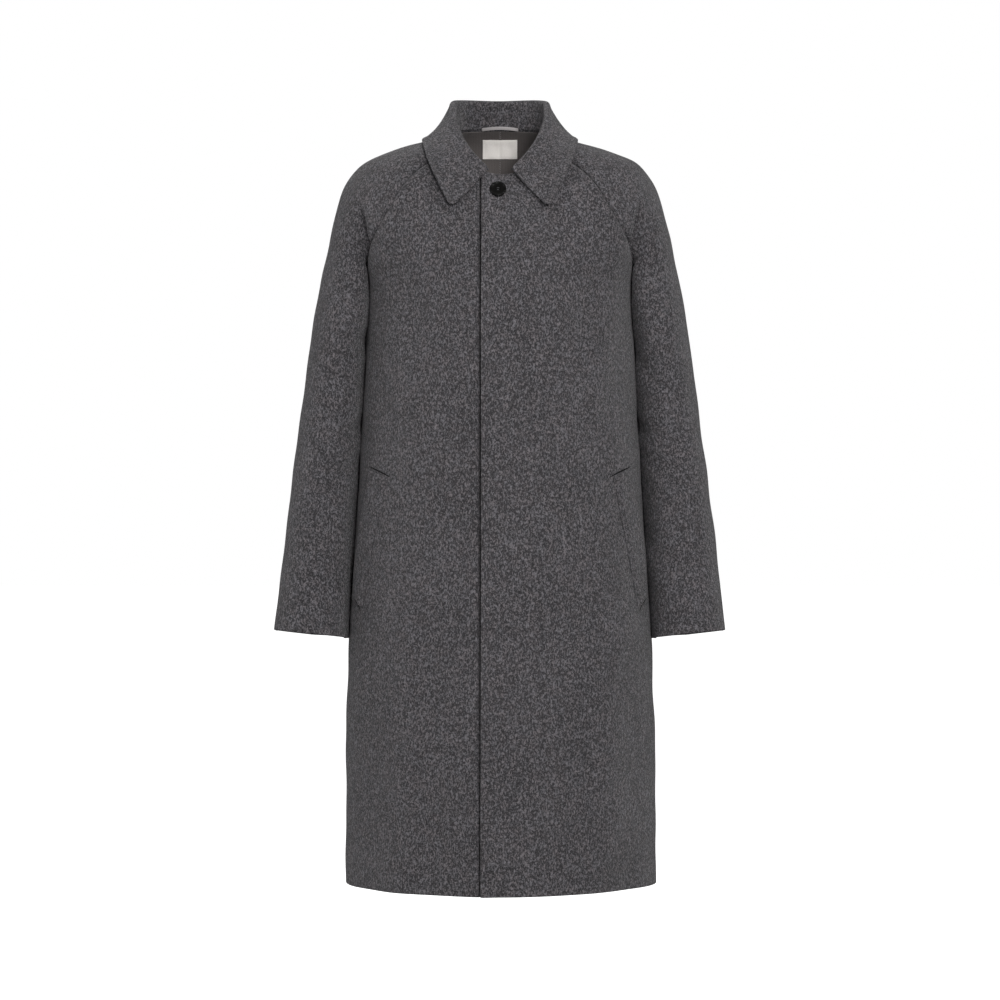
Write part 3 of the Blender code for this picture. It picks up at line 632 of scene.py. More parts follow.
def body_stations():
    """Places of all rows of a body panel."""
    return np.concatenate([stations(SKIRT_STEPS)[:-1], stations(YOKE_STEPS, UNDERARM)])


def front_grid(overlap):
    """Outer points of the left front, out to overlap past the centre front."""
    rows = []
    for section in sections_at(FRONT, body_stations()):
        edge = place_at(section, overlap)
        rows.append(body_row(section, np.linspace(-edge, 1, FRONT_COLUMNS)))
    return np.array(rows)


def back_grid():
    """Outer points of the left back, from the side and raglan seams to centre back."""
    places = np.linspace(1, 0, BACK_COLUMNS)
    sections = sections_at(BACK, body_stations())
    for index, front in enumerate(sections_at(FRONT, stations(SKIRT_STEPS))):
        sections[index] = sections[index]._replace(
            side_x=front.side_x, side_y=front.side_y, side_z=front.side_z
        )
    return np.array([body_row(section, places) for section in sections])


def under_left_front(grid):
    """The right front's points, sunk under the lap of the left front."""
    clear_of_lap = -LAP - grid[:, :, 0]
    sunk = eased_in(1 - clear_of_lap / LAP_RAMP) * (CLOTH + SEAM_GAP)
    return grid - normals_of(grid) * sunk[:, :, None]


def raglan_start(table, station, over, follow, side):
    """Where a sleeve section starts on the raglan seam, and the way it leaves it."""
    before, after = station - NEARBY, min(station + NEARBY, len(table) - 1)
    near, here, beyond = sections_at(table, np.array((before, station, after)))
    _, _, arriving, seam = body_handles(here)
    along = body_handles(beyond)[3] - body_handles(near)[3]
    normal = unit(np.cross(seam - arriving, along) * -side)
    smooth_way = over - seam
    smooth_way = unit(smooth_way - smooth_way.dot(normal) * normal)
    fold_way = np.array((0, side, 0))
    way = unit(smooth_way * follow + fold_way * (1 - follow))
    return seam + normal * SEAM_GAP * (1 - follow), way


def sleeve_half(side, table, body):
    """Outer points of half the left sleeve, side -1 in front and 1 behind."""
    places = np.linspace(0, 1, SLEEVE_COLUMNS)
    forward = np.array((0, side, 0))
    rows = []
    arm_stations = stations(ARM_STEPS)[:-1]
    for station, section in zip(arm_stations, sections_at(ARM, arm_stations)):
        over = np.array((section.over_x, section.over_y, section.over_z))
        under = np.array((section.under_x, section.under_y, section.under_z))
        lean = -side * CUFF_LEAN * (1 - station / len(ARM_STEPS))
        reach = (forward + (0, 0, lean)) * section.depth * 4 / 3
        rows.append(cubic(under, under + reach, over + reach, over, places))
    yoke_stations = stations(YOKE_STEPS)
    for station, section in zip(yoke_stations, sections_at(YOKE, yoke_stations)):
        over = np.array((section.over_x, section.over_y, section.over_z))
        start, way = raglan_start(table, station + UNDERARM, over, section.follow, side)
        start_handle = start + way * section.seam_reach
        end_handle = over + forward * section.over_reach
        rows.append(cubic(start, start_handle, end_handle, over, places))
    grid = eased(np.array(rows), *ARMPIT_EASE)
    for index in range(sum(ARM_STEPS)):
        below = grid[sum(ARM_STEPS), 0, 2] - grid[index, 0, 2]
        clearance = min(ARM_CLEARANCE, SEAM_GAP + ARM_CLEARANCE_SLOPE * below)
        grid[index] = beside(grid[index], body, clearance)
    return grid if side < 0 else grid[:, ::-1]


def eased(grid, first, last, times):
    """The grid evened out up and down between two rows, least near its seams."""
    made = grid.copy()
    middle = np.sin(np.linspace(0, math.pi, grid.shape[1]))[None, :, None]
    for share in (EASE_TOWARDS, EASE_BACK) * times:
        near = (made[first - 1 : last - 1] + made[first + 1 : last + 1]) / 2
        made[first:last] += (near - made[first:last]) * middle * share
    return made


def beside(ring, body, clearance):
    """A sleeve ring's points, kept just clear of the body's flank."""
    made = ring.copy()
    for index, (x, y, z) in enumerate(ring):
        flank = body.ray_cast(Vector((FAR, y, z)), Vector((-1, 0, 0)))[0]
        if flank is not None:
            made[index, 0] = max(x, flank.x + clearance)
    return made


def neckline():
    """The left half of the neck seam, from centre front round to centre back."""
    t = np.linspace(0, 1, FINE)
    front = cubic(*body_handles(FRONT[-1]), t)
    back = cubic(*body_handles(BACK[-1]), t)[::-1]
    halves = []
    for side, table in ((-1, FRONT), (1, BACK)):
        last = YOKE[-1]
        over = np.array((last.over_x, last.over_y, last.over_z))
        start, way = raglan_start(table, len(table) - 1, over, last.follow, side)
        handles = start + way * last.seam_reach, over + (0, side * last.over_reach, 0)
        halves.append(cubic(start, *handles, over, t))
    return np.concatenate([front, halves[0][1:], halves[1][::-1][1:], back[1:]])


def on_neckline(turns):
    """Points of the neck seam at angles round the neck, 0 and 360 at centre front."""
    left = neckline()
    line = np.concatenate([left, left[-2::-1] * MIRROR])
    angles = np.degrees(np.arctan2(line[:, 0], -line[:, 1])) % 360
    angles[-1] = 360
    return np.stack([np.interp(turns, angles, line[:, k]) for k in range(3)], axis=-1)


def collar_lines():
    """Seam, roll and edge lines of the collar from the left point round to the right."""
    right = [
        section._replace(
            roll_x=-section.roll_x, edge_x=-section.edge_x, seam_turn=360 - section.seam_turn
        )
        for section in COLLAR[1:]
    ]
    places = stations(COLLAR_STEPS[::-1] + COLLAR_STEPS)
    whole = sections_at(COLLAR[::-1] + tuple(right), places)
    seam = on_neckline(np.array([section.seam_turn for section in whole]))
    roll = np.array([(s.roll_x, s.roll_y, s.roll_z) for s in whole])
    edge = np.array([(s.edge_x, s.edge_y, s.edge_z) for s in whole])
    return seam, roll, edge, np.array([(s.radius,) for s in whole])


def between(near, far, share):
    """Points a share of the way from one line to another."""
    return near * (1 - share) + far * share


def run_along(line):
    """Lengths along a line of points, from its start."""
    steps = np.linalg.norm(np.diff(line, axis=0), axis=1)
    return np.concatenate([[0], np.cumsum(steps)])


def spline(values, knots, places):
    """A curve with steady bends through values at knots, read at places."""
    count = len(knots)
    gap = np.diff(knots)
    tall = (-1,) + (1,) * (values.ndim - 1)
    slope = np.diff(values, axis=0) / gap.reshape(tall)
    system = np.zeros((count, count))
    right = np.zeros_like(values)
    system[0, :2] = 1, -1
    system[-1, -2:] = 1, -1
    for i in range(1, count - 1):
        system[i, i - 1 : i + 2] = gap[i - 1], 2 * (gap[i - 1] + gap[i]), gap[i]
        right[i] = 6 * (slope[i] - slope[i - 1])
    bend = np.linalg.solve(system, right.reshape(count, -1)).reshape(values.shape)
    left = np.clip(np.searchsorted(knots, places, side="right") - 1, 0, count - 2)
    width = gap[left].reshape(tall)
    low = ((knots[left + 1] - places) / gap[left]).reshape(tall)
    high = 1 - low
    bow = (low**3 - low) * bend[left] + (high**3 - high) * bend[left + 1]
    return low * values[left] + high * values[left + 1] + bow * width**2 / 6


def row_places(knots, step):
    """Places about one step apart that keep every knot."""
    made = [[knots[0]]]
    for low, high in zip(knots, knots[1:]):
        count = max(1, round((high - low) / step))
        made.append(np.linspace(low, high, count + 1)[1:])
    return np.concatenate(made)


def crowded(columns, cut, centres):
    """Places of a panel's cut columns, closer together at seams and edges."""
    fine = np.linspace(0, columns - 1, FINE * columns)
    crowd = sum((bump(fine - centre, CROWD_WIDTH) for centre in centres), np.zeros_like(fine))
    passed = np.cumsum(1 + CROWD * crowd)
    passed = (passed - passed[0]) / (passed[-1] - passed[0])
    return np.interp(np.linspace(0, 1, (columns - 1) * cut + 1), passed, fine)


def refined(grid, knots, step, cut, centres=()):
    """A coarse grid drawn finer, with rows about a step apart and each column cut."""
    rows = spline(grid, knots, row_places(knots, step))
    columns = np.arange(grid.shape[1], dtype=float)
    places = crowded(grid.shape[1], cut, centres)
    return np.swapaxes(spline(np.swapaxes(rows, 0, 1), columns, places), 0, 1)


@lru_cache(maxsize=None)
def panels():
    """Fine outer points and normals of the eight panels, still smooth, by name."""
    over, back = front_grid(LAP), back_grid()
    under = under_left_front(mirrored(front_grid(UNDERLAP)))
    body = tree_of(over, back)
    front_arm, back_arm = sleeve_half(-1, FRONT, body), sleeve_half(1, BACK, body)
    step = cloth_settings().row_step
    front_run, back_run = run_along(over[:, -1]), run_along(back[:, 0])
    arm_run = run_along(front_arm[:, 0])
    columns = np.arange(FRONT_COLUMNS)
    lap = [np.interp(-LAP, row[:, 0], columns) for row in under[: sum(SKIRT_STEPS)]]
    over = refined(over, front_run, step, FRONT_CUT, (0, FRONT_COLUMNS - 1))
    under = refined(under, front_run, step, FRONT_CUT, (0, np.mean(lap)))
    back = refined(back, back_run, step, BACK_CUT, (0, BACK_COLUMNS - 1))
    front_arm = refined(front_arm, arm_run, step, SLEEVE_CUT, (0, SLEEVE_COLUMNS - 1))
    back_arm = refined(back_arm, arm_run, step, SLEEVE_CUT, (0, SLEEVE_COLUMNS - 1))
    skirt = len(row_places(front_run[: sum(SKIRT_STEPS) + 1], step))
    arm = len(row_places(arm_run[: sum(ARM_STEPS) + 1], step))
    back[:skirt, 0] = over[:skirt, -1]
    back_arm[:arm, -1] = front_arm[:arm, 0]

    made = {
        "front_left": over, "front_right": under, "back_left": back,
        "sleeve_front_left": front_arm, "sleeve_back_left": back_arm,
    }
    out = {name: normals_of(grid) for name, grid in made.items()}
    shared = (
        ("front_left", np.s_[:skirt, -1], "back_left", np.s_[:skirt, 0]),
        ("sleeve_front_left", np.s_[:arm, 0], "sleeve_back_left", np.s_[:arm, -1]),
        ("sleeve_front_left", np.s_[:, -1], "sleeve_back_left", np.s_[:, 0]),
        ("front_left", np.s_[skirt - 1 :, -1], "sleeve_front_left", np.s_[arm - 1 :, 0]),
    )
    for first, first_edge, second, second_edge in shared:
        share_normals(out[first], first_edge, out[second], second_edge)
    share_normals(out["back_left"], np.s_[:, -1], mirrored(out["back_left"]), np.s_[:, 0])
    out["front_right"][:, 0] = mirrored(out["front_left"])[:, 0]
    for name in ("back", "sleeve_front", "sleeve_back"):
        made[f"{name}_right"] = mirrored(made[f"{name}_left"])
        out[f"{name}_right"] = mirrored(out[f"{name}_left"])
    return made, out


def bump(distance, width):
    """A soft bump, 1 at no distance and 0 well past the width."""
    return np.exp(-((distance / width) ** 2))


def row_run(grid, from_last):
    """Length along each row of a grid, from its first or its last column."""
    steps = np.linalg.norm(np.diff(grid, axis=1), axis=2)
    run = np.concatenate([np.zeros((len(grid), 1)), np.cumsum(steps, axis=1)], axis=1)
    return run[:, -1:] - run if from_last else run


def column_run(grid, from_last):
    """Length up each column of a grid, from its first or its last row."""
    return row_run(np.swapaxes(grid, 0, 1), from_last).T


def crease_depth(name, girth, z):
    """How far the soft creases of one panel sink its points."""
    depth = np.zeros_like(z)
    for crease in CREASES:
        if crease.panel != name:
            continue
        start = np.array((crease.girth_a, crease.z_a))
        way = np.array((crease.girth_b, crease.z_b)) - start
        length = np.linalg.norm(way)
        way /= length
        along = ((girth - start[0]) * way[0] + (z - start[1]) * way[1]) / length
        off = (girth - start[0]) * way[1] - (z - start[1]) * way[0]
        inside = np.clip(along, 0, 1)
        off = off - crease.bow * np.sin(math.pi * inside)
        beyond = np.abs(along - inside) * length
        fade = np.sin(math.pi * np.clip(inside, 0.02, 0.98)) ** CREASE_TAPER
        trough = bump(off, crease.width)
        aside = CREASE_RIDGE_OFF * crease.width
        ridge = bump(off - aside, crease.width) + bump(off + aside, crease.width)
        ridge *= CREASE_RIDGE
        depth += crease.depth * fade * bump(beyond, crease.width) * (trough - ridge)
    return depth * drape_settings().crease


def waviness(points):
    """Slow unevenness of the cloth, which runs on from panel to panel."""
    made = np.zeros(points.shape[:2])
    for wave in WAVES:
        turns = points @ np.array((wave.x, wave.y, wave.z)) + wave.phase
        made += wave.height * np.sin(2 * math.pi * turns)
    return made


def skirt_flutes(points):
    """Flutes round the skirt, growing towards the hem."""
    angle = np.arctan2(points[:, :, 0], -points[:, :, 1])
    grow = np.clip((FLUTES_FROM - points[:, :, 2]) / (FLUTES_FROM - FLUTES_TO), 0, 1) ** 1.5
    made = sum(f.share * np.sin(f.count * angle + f.phase) for f in FLUTES)
    return made * grow * drape_settings().flute


def front_relief(name, points):
    """The fronts' ridge over the lapped edge, the doubled edge's puff and the groove by it."""
    drape = drape_settings()
    off = np.abs(points[:, :, 0] + LAP)
    deeper = np.interp(points[:, :, 2], RIDGE_LEVELS, RIDGE_SHARES)
    made = drape.ridge * deeper * np.exp(-off / drape.ridge_width)
    if name == "front_left":
        edge = row_run(points, False)
        made += drape.edge_puff * bump(edge - 0.4 * drape.puff_width, drape.puff_width * 0.8)
    else:
        beside_lap = np.maximum(-points[:, :, 0] - LAP, 0)
        made -= drape.edge_groove * np.exp(-beside_lap / GROOVE_DECAY)
    return made


def arm_fold(points, sunk):
    """How far a sleeve half sinks where it rolls under the body."""
    x, z = np.abs(points[:, :, 0]), points[:, :, 2]
    levels = [row.z for row in ARM_FOLD[::-1]]
    line = np.interp(z, levels, [row.x for row in ARM_FOLD[::-1]])
    depth = sunk * np.interp(z, levels, [row.depth for row in ARM_FOLD[::-1]])
    across = x - line
    beyond = np.maximum(across, 0)
    sleeve_side = sum(share * np.exp(-beyond / decay) for share, decay in ARM_FOLD_SLEEVE)
    body_side = bump(np.minimum(across, 0), ARM_FOLD_BODY)
    lip = ARM_FOLD_LIP * bump(across + 2 * ARM_FOLD_BODY, 1.5 * ARM_FOLD_BODY)
    above = np.clip((z - ARM_SLIDE_FROM) / ARM_SLIDE_RAMP, 0, 1)
    body_slide = -ARM_SLIDE_BODY * above * bump(across, ARM_SLIDE_RUN)
    slide = np.where(across > 0, np.exp(-beyond / ARM_SLIDE_RUN), body_slide)
    return depth * (lip - sleeve_side * body_side), depth * ARM_FOLD_SLIDE * slide


@lru_cache(maxsize=None)
def body_tree(side):
    """A tree of one side of the draped body."""
    return tree_of(draped(f"front_{side}")[0], draped(f"back_{side}")[0])


def against_body(points, normal, side):
    """A sleeve's points drawn in to lie against the flank beside them."""
    body = body_tree(side)
    sign = 1 if side == "left" else -1
    made = points.copy()
    inward = np.clip(-sign * normal[:, :, 0] / ARM_REST_FACING, 0, 1)
    hanging = np.clip(np.interp(-points[:, :, 2], -np.array(ARM_REST_FROM), (0, 1)), 0, 1)
    press = np.interp(points[:, :, 1], ARM_PRESS_DEPTHS, (ARM_PRESS_FRONT, ARM_PRESS_BACK))
    under = np.interp(-points[:, :, 2], ARM_PRESS_DROPS, (ARM_PRESS_UNDER, 0.0))
    press = np.maximum(press, under)
    for index in np.argwhere(inward * hanging > 0):
        x, y, z = points[tuple(index)]
        flank = body.ray_cast(Vector((sign * FAR, y, z)), Vector((-sign, 0, 0)))[0]
        if flank is not None:
            row, column = index
            gap = (sign * (x - flank.x) - ARM_REST) * inward[row, column]
            drawn = np.clip(gap, 0, press[row, column]) * hanging[row, column]
            made[row, column, 0] -= sign * drawn
    return made


def seam_relief(points, name):
    """How far the cloth sinks along a panel's seams."""
    cloth = cloth_settings()
    made = np.zeros(points.shape[:2])
    for last, free, centre_back in (
        (False, "front_left", "back_right"), (True, "front_right", "back_left"),
    ):
        if name != free:
            share = CENTRE_BACK_DIP if name == centre_back else 1.0
            made -= share * np.exp(-row_run(points, last) / cloth.seam_width)
    return made * cloth.seam_dip


@lru_cache(maxsize=None)
def draped(name):
    """One panel's points with its folds, and its normals before them."""
    made, out = panels()
    points, normal = made[name], out[name]
    left = name.endswith("left")
    if name.startswith("front"):
        girth = np.abs(row_run(points, not left) - (LAP if left else UNDERLAP))
    elif name.startswith("back"):
        girth = row_run(points, left)
    else:
        girth = row_run(points, left == name.startswith("sleeve_back"))
    relief = waviness(points) + seam_relief(points, name)
    relief -= crease_depth(name, girth, points[:, :, 2])
    if name.startswith("sleeve"):
        share = 1.0 if "front" in name else BACK_FOLD_SHARE
        seam_column = 0 if left == ("front" in name) else -1
        fold, slide = arm_fold(points, share)
        fold[:, seam_column] = 0
        slide[:, seam_column] = 0
        relief += fold
        points = against_body(points, normal, "left" if left else "right")
        points = points - np.array((1 if left else -1, 0, 0)) * slide[:, :, None]
    else:
        relief += skirt_flutes(points)
    if name.startswith("front"):
        relief += front_relief(name, points)
    return points + normal * relief[:, :, None], normal


def shell(name, outer, inner, finish, seams):
    """A closed piece of cloth between two grids, with its rim rolled over, less at seams."""
    rows, columns = outer.shape[:2]
    count = rows * columns
    index = np.arange(count).reshape(rows, columns)
    quads = np.stack([index[:-1, :-1], index[:-1, 1:], index[1:, 1:], index[1:, :-1]], axis=-1)
    faces = quads.reshape(-1, 4).tolist()
    faces += (quads.reshape(-1, 4)[:, ::-1] + count).tolist()
    rim = [(0, j) for j in range(columns)]
    rim += [(i, columns - 1) for i in range(1, rows)]
    rim += [(rows - 1, j) for j in range(columns - 2, -1, -1)]
    rim += [(i, 0) for i in range(rows - 2, 0, -1)]
    along, level = np.array(rim)[:, 1], np.array(rim)[:, 0]
    middle = (outer + inner) / 2
    away = np.zeros_like(middle)
    away[0] += unit(middle[0] - middle[1])
    away[-1] += unit(middle[-1] - middle[-2])
    away[:, 0] += unit(middle[:, 0] - middle[:, 1])
    away[:, -1] += unit(middle[:, -1] - middle[:, -2])
    away = unit(away[level, along])
    half = (outer - inner)[level, along] / 2
    rolls = np.full(len(rim), cloth_settings().edge_roll)
    for side, there in (
        ("left", along == 0), ("right", along == columns - 1),
        ("bottom", level == 0), ("top", level == rows - 1),
    ):
        if side in seams:
            rolls[there] = SEAM_ROLL
    bulge = np.linalg.norm(half, axis=1, keepdims=True) * rolls[:, None]
    loops = [index[level, along]]
    points = [outer.reshape(-1, 3), inner.reshape(-1, 3)]
    first = 2 * count
    for degrees in RIM_TURNS:
        turn = math.radians(degrees)
        edge = middle[level, along] + half * math.cos(turn) + away * bulge * math.sin(turn)
        points.append(edge)
        loops.append(first + np.arange(len(rim)))
        first += len(rim)
    loops.append(index[level, along] + count)
    for near, far in zip(loops, loops[1:]):
        onward = np.roll(near, -1), np.roll(far, -1)
        faces += np.stack([onward[0], near, far, onward[1]], axis=-1).tolist()
    mesh = bpy.data.meshes.new(name)
    mesh.from_pydata(np.concatenate(points).tolist(), [], faces)
    mesh.materials.append(finish)
    mesh.shade_smooth()
    return placed(name, mesh)


def placed(name, mesh):
    """An object for a mesh, in the scene and riding on the coat."""
    made = bpy.data.objects.new(name, mesh)
    bpy.context.scene.collection.objects.link(made)
    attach(made, "root")
    return made


def rolled_in(grid, thickness, seams=()):
    """A grid drawn back at its edges by what the rolled rim adds, and at its seams to a groove."""
    roll = thickness / 2 * cloth_settings().edge_roll
    sides = ("left", "right", "bottom", "top")
    return drawn_back(grid, **{side: SEAM_BACK if side in seams else roll for side in sides})


def sewn_sheet(name, node, outer, normal, thickness, finish, seams=()):
    """A piece of cloth that stands for one solid, whose part it hides."""
    inner = drawn_back(outer - normal * thickness, **{side: -SEAM_BACK - SEAM_PASS for side in seams})
    made = shell(name, outer, inner, finish, seams)
    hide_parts(node)
    return made


def corner_rounded(grid, radius, row_end, column_end):
    """The grid with one corner turned on a radius."""
    made = grid[::-1] if row_end else grid
    made = (made[:, ::-1] if column_end else made).copy()
    rows = max(2, int(np.searchsorted(run_along(made[:, 0]), radius)))
    columns = max(2, int(np.searchsorted(run_along(made[0]), radius)))
    block = made[: rows + 1, : columns + 1]
    p = (1 - np.linspace(0, 1, rows + 1))[:, None] * np.ones((1, columns + 1))
    q = (1 - np.linspace(0, 1, columns + 1))[None, :] * np.ones((rows + 1, 1))
    moved_p, moved_q = p * np.sqrt(1 - q * q / 2), q * np.sqrt(1 - p * p / 2)

    def sheet_at(u, v):
        u, v = u[:, :, None], v[:, :, None]
        low = block[rows, columns] * (1 - v) + block[rows, 0] * v
        high = block[0, columns] * (1 - v) + block[0, 0] * v
        return low * (1 - u) + high * u

    made[: rows + 1, : columns + 1] = block + sheet_at(moved_p, moved_q) - sheet_at(p, q)
    made = made[:, ::-1] if column_end else made
    return made[::-1] if row_end else made


def node_in(tree, kind, values=None, **settings):
    """A new shader node with its settings, and its inputs given a value or linked to a socket."""
    made = tree.nodes.new(kind)
    for key, value in settings.items():
        setattr(made, key, value)
    for key, value in (values or {}).items():
        if isinstance(value, bpy.types.NodeSocket):
            tree.links.new(value, made.inputs[key])
        else:
            made.inputs[key].default_value = value
    return made


def math_in(tree, operation, first, second):
    """A math node on sockets or plain numbers; returns its result."""
    return node_in(tree, "ShaderNodeMath", {0: first, 1: second}, operation=operation).outputs[0]


def weighted(tree, total, value, weight):
    """A total with a value added by its weight."""
    return math_in(tree, "ADD", total, math_in(tree, "MULTIPLY", value, weight))


def object_place(tree):
    """Places in the piece's own space."""
    return tree.nodes.new("ShaderNodeTexCoord").outputs["Object"]


def noise_in(tree, place, scale, detail, **more):
    """Noise at places, of a scale and a detail."""
    values = {"Vector": place, "Scale": scale, "Detail": detail, **more}
    return node_in(tree, "ShaderNodeTexNoise", values).outputs["Fac"]


def new_group(name, inputs, outputs):
    """An empty shader node group with its sockets, and its two ends."""
    tree = bpy.data.node_groups.new(name, "ShaderNodeTree")
    for label, kind, default in inputs:
        socket = tree.interface.new_socket(label, in_out="INPUT", socket_type=kind)
        socket.default_value = default
    for label, kind in outputs:
        tree.interface.new_socket(label, in_out="OUTPUT", socket_type=kind)
    return tree, tree.nodes.new("NodeGroupInput"), tree.nodes.new("NodeGroupOutput")


def remap(tree, value, low, high):
    """A value spread from low..high to 0..1, held at its ends."""
    values = {"Value": value, "From Min": low, "From Max": high}
    made = node_in(tree, "ShaderNodeMapRange", values, interpolation_type="SMOOTHSTEP")
    return made.outputs["Result"]


def mixed(tree, share, first, second):
    """A colour between two, by a share."""
    values = {"Factor": share, "A": first, "B": second}
    return node_in(tree, "ShaderNodeMix", values, data_type="RGBA").outputs["Result"]


COLOUR, NUMBER = "NodeSocketColor", "NodeSocketFloat"
GREY = (0.5, 0.5, 0.5, 1.0)
# Sizes of the felt's grain against a fleck, and the span of each that shows
Grain = namedtuple("Grain", "ratio detail distortion low high")
GRAINS = (
    Grain(1.0, 3.0, 0.5, 0.43, 0.67),
    Grain(1.9, 2.0, 0.8, 0.42, 0.69),
    Grain(5.0, 2.0, 1.2, 0.38, 0.68),
)
NAP_STRETCH = (1.0, 1.0, 0.66)


@lru_cache(maxsize=None)
def felted_fibres():
    """Flecks and fine fibres of a felted, brushed cloth."""
    tree, given, put = new_group(
        "felted fibres",
        (("Ground", COLOUR, GREY), ("Fleck", COLOUR, GREY), ("Warm Fleck", COLOUR, GREY),
         ("Fleck Size", NUMBER, 0.003)),
        (("Colour", COLOUR), ("Height", NUMBER), ("Nap", NUMBER)),
    )
    place = object_place(tree)
    napped = node_in(tree, "ShaderNodeMapping", {"Vector": place, "Scale": NAP_STRETCH})
    scale = math_in(tree, "DIVIDE", 1.0, given.outputs["Fleck Size"])
    found = []
    for grain in GRAINS:
        noise = noise_in(
            tree, napped.outputs["Vector"], math_in(tree, "MULTIPLY", scale, grain.ratio),
            grain.detail, Roughness=0.62, Distortion=grain.distortion,
        )
        found.append(remap(tree, noise, grain.low, grain.high))
    fleck, fibre, hair = found
    drift = math_in(tree, "SUBTRACT", noise_in(tree, place, 14.0, 3.0, Roughness=0.6), 0.5)
    share = math_in(tree, "MULTIPLY", fleck, 0.60)
    for value, weight in ((fibre, 0.42), (hair, 0.16), (drift, 0.16)):
        share = weighted(tree, share, value, weight)
    share = remap(tree, share, 0.00, 1.00)
    tint = remap(tree, noise_in(tree, place, 75.0, 4.0, Roughness=0.7), 0.40, 0.62)
    light = mixed(tree, tint, given.outputs["Fleck"], given.outputs["Warm Fleck"])
    colour = mixed(tree, share, given.outputs["Ground"], light)
    height = weighted(tree, weighted(tree, fibre, fleck, 0.5), hair, 0.5)
    tree.links.new(colour, put.inputs["Colour"])
    tree.links.new(height, put.inputs["Height"])
    tree.links.new(weighted(tree, 0.86, fibre, 0.12), put.inputs["Nap"])
    return tree


@lru_cache(maxsize=None)
def woven_threads():
    """Crossing threads of a woven tape or facing, slanted into a twill if asked."""
    tree, given, put = new_group(
        "woven threads",
        (("Thread", COLOUR, GREY), ("Gap", COLOUR, GREY), ("Spacing", NUMBER, 0.0006),
         ("Slant", NUMBER, 0.0)),
        (("Colour", COLOUR), ("Height", NUMBER)),
    )
    place = object_place(tree)
    split = node_in(tree, "ShaderNodeSeparateXYZ", {"Vector": place}).outputs
    turns = math_in(tree, "DIVIDE", 2 * math.pi, given.outputs["Spacing"])
    across = weighted(tree, split["X"], split["Z"], given.outputs["Slant"])
    weft = math_in(tree, "SINE", math_in(tree, "MULTIPLY", across, turns), 0.0)
    warp = math_in(tree, "SINE", math_in(tree, "MULTIPLY", split["Z"], turns), 0.0)
    crossing = math_in(tree, "MULTIPLY", weft, warp)
    level = remap(tree, weighted(tree, crossing, weft, 0.5), -1.2, 1.2)
    uneven = math_in(tree, "SUBTRACT", noise_in(tree, place, 420.0, 3.0), 0.5)
    share = weighted(tree, level, uneven, 0.8)
    colour = mixed(tree, share, given.outputs["Gap"], given.outputs["Thread"])
    tree.links.new(colour, put.inputs["Colour"])
    tree.links.new(level, put.inputs["Height"])
    return tree


def principled(name, roughness, sheen=0.0, specular=0.5):
    """A material with its constants on the shader's own sockets."""
    made = bpy.data.materials.new(name)
    made.use_nodes = True
    shader = made.node_tree.nodes["Principled BSDF"]
    shader.inputs["Roughness"].default_value = roughness
    shader.inputs["Specular IOR Level"].default_value = specular
    shader.inputs["Sheen Weight"].default_value = sheen
    shader.inputs["Sheen Roughness"].default_value = 0.45
    return made, made.node_tree, shader


def raised(tree, shader, height, distance, strength):
    """A bump from a height into a shader's normal."""
    values = {"Height": height, "Distance": distance, "Strength": strength}
    made = node_in(tree, "ShaderNodeBump", values)
    tree.links.new(made.outputs["Normal"], shader.inputs["Normal"])


def opaque(colour, share=1.0):
    """A colour setting as a socket's value, made lighter or darker by a share."""
    return tuple(part * share for part in colour) + (1.0,)


@lru_cache(maxsize=None)
def cashmere():
    """Felted charcoal cloth with light and dark fibres."""
    cloth = cloth_settings()
    made, tree, shader = principled("cashmere", 0.92, sheen=0.10, specular=0.15)
    fibres = node_in(tree, "ShaderNodeGroup", {
        "Ground": opaque(cloth.ground), "Fleck": opaque(cloth.fleck),
        "Warm Fleck": opaque(cloth.warm_fleck), "Fleck Size": cloth.fleck_size,
    }, node_tree=felted_fibres())
    tree.links.new(fibres.outputs["Colour"], shader.inputs["Base Color"])
    tree.links.new(fibres.outputs["Nap"], shader.inputs["Roughness"])
    raised(tree, shader, fibres.outputs["Height"], 0.0008, 0.55)
    return made


# Woven cloths, tapes and threads: the colour's setting and how the threads lie
Weave = namedtuple("Weave", "colour gap spacing slant roughness sheen")
WEAVES = {
    "facing twill": Weave("lining", 0.62, 0.0024, 1.00, 0.62, 0.10),
    # Near-black cords of painted shade for the pocket slits, in the button's colour
    "pocket lining": Weave("horn", 0.60, 0.0009, 1.00, 0.90, 0.00),
    "label tape": Weave("tape", 0.86, 0.0007, 0.00, 0.55, 0.05),
    "loop tape": Weave("loop", 0.68, 0.0011, 0.35, 0.60, 0.10),
    "sewing thread": Weave("thread", 0.55, 0.0005, 1.20, 0.60, 0.15),
    "pale thread": Weave("loop", 0.70, 0.0005, 1.20, 0.60, 0.10),
}


@lru_cache(maxsize=None)
def woven(name):
    """A woven cloth, tape or thread of one colour."""
    weave = WEAVES[name]
    colour = getattr(trim_settings(), weave.colour)
    made, tree, shader = principled(name, weave.roughness, sheen=weave.sheen, specular=0.25)
    threads = node_in(tree, "ShaderNodeGroup", {
        "Thread": opaque(colour), "Gap": opaque(colour, weave.gap),
        "Spacing": weave.spacing, "Slant": weave.slant,
    }, node_tree=woven_threads())
    tree.links.new(threads.outputs["Colour"], shader.inputs["Base Color"])
    raised(tree, shader, threads.outputs["Height"], 0.0002, 0.5)
    return made


